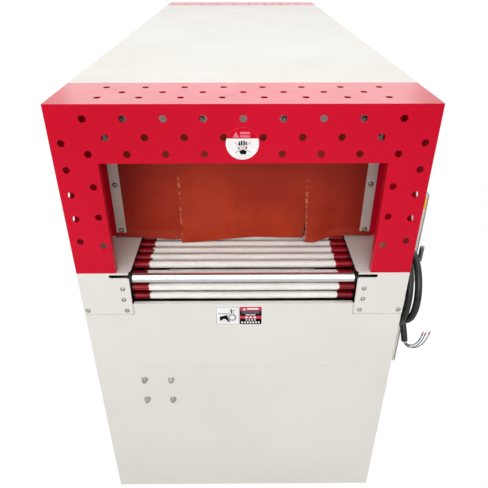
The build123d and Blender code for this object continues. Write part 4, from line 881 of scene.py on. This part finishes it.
hand = [bar_outline(*finger, 0.0033) for finger in fingers]
hand.append([(-0.0122, -0.0052), (-0.0098, -0.0062), (-0.0078, -0.0092), (-0.0058, -0.0074),
             (-0.0044, -0.0082), (-0.0072, -0.0122)])
hand.append([(0.0052, -0.0082), (0.0098, -0.0052), (0.0092, -0.0112)])
hand.append([(0.0012, -0.0114), (-0.0066, -0.0158), (-0.0038, -0.0222), (0.0070, -0.0222), (0.0090, -0.0158)])
printed("guard_sign_hand", [on_sign(shape) for shape in hand], GUARD_FACE, 2, film_black)
small_marks = [card_outline(x, x + 0.0016, z, z + 0.0010, 0.0003) for x, z in
               [(-0.0130 + 0.0030 * i, -0.0258 + 0.00002 * (i - 4) ** 2) for i in range(10)]
               + [(-0.0060 + 0.0032 * i, -0.0296) for i in range(4)]]
printed("guard_sign_small_marks", [on_sign(shape) for shape in small_marks], GUARD_FACE, 2,
        film_grey)
CROSS_WIDTH = 0.0010
for layer, name, ends in ((3, "guard_sign_cross", (-0.0160, 0.0026, 0.0168, -0.0180)),
                          (4, "guard_sign_cross_back", (-0.0142, -0.0192, 0.0158, 0.0028))):
    printed(name, [on_sign(bar_outline(*ends, CROSS_WIDTH))], GUARD_FACE, layer, film_faded)


# ------------------------------------------------------------------ conveyor sign
# Oblong sign under the panel lip: a plain hand at a toothed wheel on the white half, and
# red bands with small white blocks on the dark half.

PANEL_FACE = -1.0435
S_LOW, S_MIDDLE, S_HIGH, S_BOTTOM, S_TOP = -0.0700, -0.0095, 0.0468, 0.6525, 0.7130
printed("conveyor_sign_card", [card_outline(S_LOW, S_HIGH, S_BOTTOM, S_TOP, 0.004)], PANEL_FACE, 1,
        film_white)
frame_outline = card_outline(S_LOW + 0.0018, S_MIDDLE - 0.0008, S_BOTTOM + 0.0025, S_TOP - 0.0026, 0.003)
printed("conveyor_sign_frame", [frame_outline], PANEL_FACE, 2, film_grey)
inside_outline = card_outline(S_LOW + 0.0031, S_MIDDLE - 0.0021, S_BOTTOM + 0.0038, S_TOP - 0.0039, 0.0022)
printed("conveyor_sign_white_half", [inside_outline], PANEL_FACE, 3, film_white)
dark_outline = card_outline(S_MIDDLE, S_HIGH - 0.0020, S_BOTTOM + 0.0028, S_TOP - 0.0026, 0.003)
printed("conveyor_sign_dark_half", [dark_outline], PANEL_FACE, 2, film_black)
bands = [card_outline(S_MIDDLE + 0.0002, S_HIGH - 0.0022, low, high, 0.0012) for low, high in
         ((0.6985, 0.7102), (0.6735, 0.6820))]
printed("conveyor_sign_bands", bands, PANEL_FACE, 3, film_band)
lines = [card_outline(low, high, z, z + 0.0034, 0.0008) for low, high, z in
         ((-0.0060, 0.0195, 0.6938), (0.0205, 0.0415, 0.6938), (-0.0040, 0.0400, 0.6894))]
printed("conveyor_sign_lines", lines, PANEL_FACE, 3, film_slate)
blocks = [[(-0.0020, 0.7002), (0.0020, 0.7078), (0.0060, 0.7002)],
          card_outline(0.0088, 0.0366, 0.7016, 0.7064, 0.001),
          card_outline(0.0048, 0.0156, 0.6842, 0.6868, 0.0008),
          card_outline(0.0166, 0.0290, 0.6842, 0.6868, 0.0008)]
blocks += [[(x - 0.0042, 0.6750), (x - 0.0014, 0.6804), (x + 0.0016, 0.6804), (x + 0.0042, 0.6750)]
           for x in (0.0074, 0.0174, 0.0277)]
bottom_row = [-0.0055 + 0.0069 * i for i in range(7)]
blocks += [card_outline(x, x + 0.0042, 0.6586, 0.6646, 0.0016) for x in bottom_row]
blocks += [card_outline(x, x + 0.0036, 0.6672, 0.6716, 0.0014) for x in (0.0056, 0.0124, 0.0192, 0.0262)]
printed("conveyor_sign_blocks", blocks, PANEL_FACE, 4, film_white)
reach = [[(-0.0590, 0.6794), (-0.0404, 0.6855), (-0.0393, 0.6786), (-0.0340, 0.6640), (-0.0374, 0.6631),
          (-0.0445, 0.6725), (-0.0509, 0.6725), (-0.0541, 0.6684), (-0.0588, 0.6668)],
         bar_outline(-0.0312, 0.7020, -0.0294, 0.6930, 0.0034),
         bar_outline(-0.0226, 0.7010, -0.0266, 0.6976, 0.0017),
         bar_outline(-0.0282, 0.6926, -0.0298, 0.6894, 0.0012),
         bar_outline(-0.0252, 0.6926, -0.0228, 0.6892, 0.0012)]
dots = [round_outline(x, 0.6892, 0.0015, points=10) for x in [-0.0608 + 0.0044 * i for i in range(7)]]
dots += [round_outline(x, 0.6664, 0.0009, points=10) for x in (-0.0525, -0.0480, -0.0435, -0.0320, -0.0235)]
printed("conveyor_sign_hand", reach + dots, PANEL_FACE, 4, film_black)
wheel_x, wheel_z, wheel_radius, hub_radius = -0.0279, 0.6776, 0.0104, 0.0070
WHEEL_TEETH, TOOTH_ROOT = 12, 0.86


def toothed_outline(x, z, radius):
    """A wheel's outline, with two points on every tooth and two in every gap."""
    reaches = (1.0, 1.0, TOOTH_ROOT, TOOTH_ROOT) * WHEEL_TEETH
    circle = round_outline(0, 0, radius, points=len(reaches))
    return [(x + reach * across, z + reach * up) for reach, (across, up) in zip(reaches, circle)]


printed("conveyor_sign_teeth", [toothed_outline(wheel_x, wheel_z, wheel_radius)], PANEL_FACE, 5,
        film_slate)
printed("conveyor_sign_wheel", [round_outline(wheel_x, wheel_z, hub_radius, points=32)], PANEL_FACE, 6,
        film_white)


# ------------------------------------------------------------------ hazard sticker
# Small yellow sticker with a dark triangle near the top outer corner of the control box.

BOX_FACE = -0.753
film_yellow = print_film("film_yellow", srgb(246, 208, 30), srgb(238, 196, 22))
sticker = card_outline(0.4900, 0.5160, 0.8280, 0.8640, 0.002)
sticker_mark = [(0.4950, 0.8370), (0.5030, 0.8560), (0.5110, 0.8370)]
printed("box_sticker", [sticker], BOX_FACE, 1, film_yellow)
printed("box_sticker_mark", [sticker_mark], BOX_FACE, 2, film_black)


# ------------------------------------------------------------------ floor and light
# Pale seamless studio floor, a large soft light overhead and behind, and an even white room.

bpy.ops.object.select_all(action="DESELECT")
bpy.ops.mesh.primitive_plane_add(size=30, location=(0, 0, -0.0005))
floor = bpy.context.active_object
floor.name = "floor"
floor_white, shader, place = blank_material("floor_white")
connect(floor_white, two_tone(floor_white, cloudy(floor_white, place, 2.0), 0.2, 0.8,
                              (0.56, 0.56, 0.56, 1), (0.6, 0.6, 0.6, 1)), shader.inputs["Base Color"])
shader.inputs["Roughness"].default_value = 0.9
seen_by = floor_white.node_tree.nodes.new("ShaderNodeLightPath")
glow = wired(floor_white, "ShaderNodeEmission", Color=(1, 1, 1, 1), Strength=1.0)
lit = floor_white.node_tree.nodes.new("ShaderNodeMixShader")
connect(floor_white, seen_by.outputs["Is Camera Ray"], lit.inputs["Fac"])
connect(floor_white, shader.outputs["BSDF"], lit.inputs[1])
connect(floor_white, glow.outputs["Emission"], lit.inputs[2])
connect(floor_white, lit.outputs["Shader"], floor_white.node_tree.nodes["Material Output"].inputs["Surface"])
floor.data.materials.append(floor_white)

world = bpy.data.worlds.new("studio")
scene.world = world
world.use_nodes = True
world.node_tree.nodes["Background"].inputs["Color"].default_value = (1.0, 1.0, 1.0, 1)
ROOM_WHITE, ROOM_LIGHT = 1.0, 0.45        # the room as seen or mirrored, and as it lights
world_tree = world.node_tree
ray = world_tree.nodes.new("ShaderNodeLightPath")
level = world_tree.nodes.new("ShaderNodeMix")
level.inputs["A"].default_value, level.inputs["B"].default_value = ROOM_WHITE, ROOM_LIGHT
world_tree.links.new(ray.outputs["Is Diffuse Ray"], level.inputs["Factor"])
world_tree.links.new(level.outputs["Result"], world_tree.nodes["Background"].inputs["Strength"])
scene.view_settings.view_transform = "Standard"


def softbox(name, place, target, size, power, mirrored_only=False):
    """A square diffused lamp that faces a point."""
    lamp = bpy.data.lights.new(name, "AREA")
    lamp.shape = "RECTANGLE"
    lamp.size, lamp.size_y = size
    lamp.energy = power
    holder = bpy.data.objects.new(name, lamp)
    scene.collection.objects.link(holder)
    holder.location = place
    holder.rotation_euler = (Vector(target) - Vector(place)).to_track_quat("-Z", "Y").to_euler()
    holder.visible_diffuse = not mirrored_only


softbox("overhead", (0.0, -0.2, 4.0), (0.0, -0.2, 0.8), (4.0, 4.0), 62)
softbox("behind", (0.0, 4.6, 3.9), (0.0, -0.8, 1.1), (5.0, 3.0), 60, mirrored_only=True)
softbox("front", (-0.4, -4.0, 2.3), (0.0, -0.9, 0.8), (3.0, 2.2), 76)
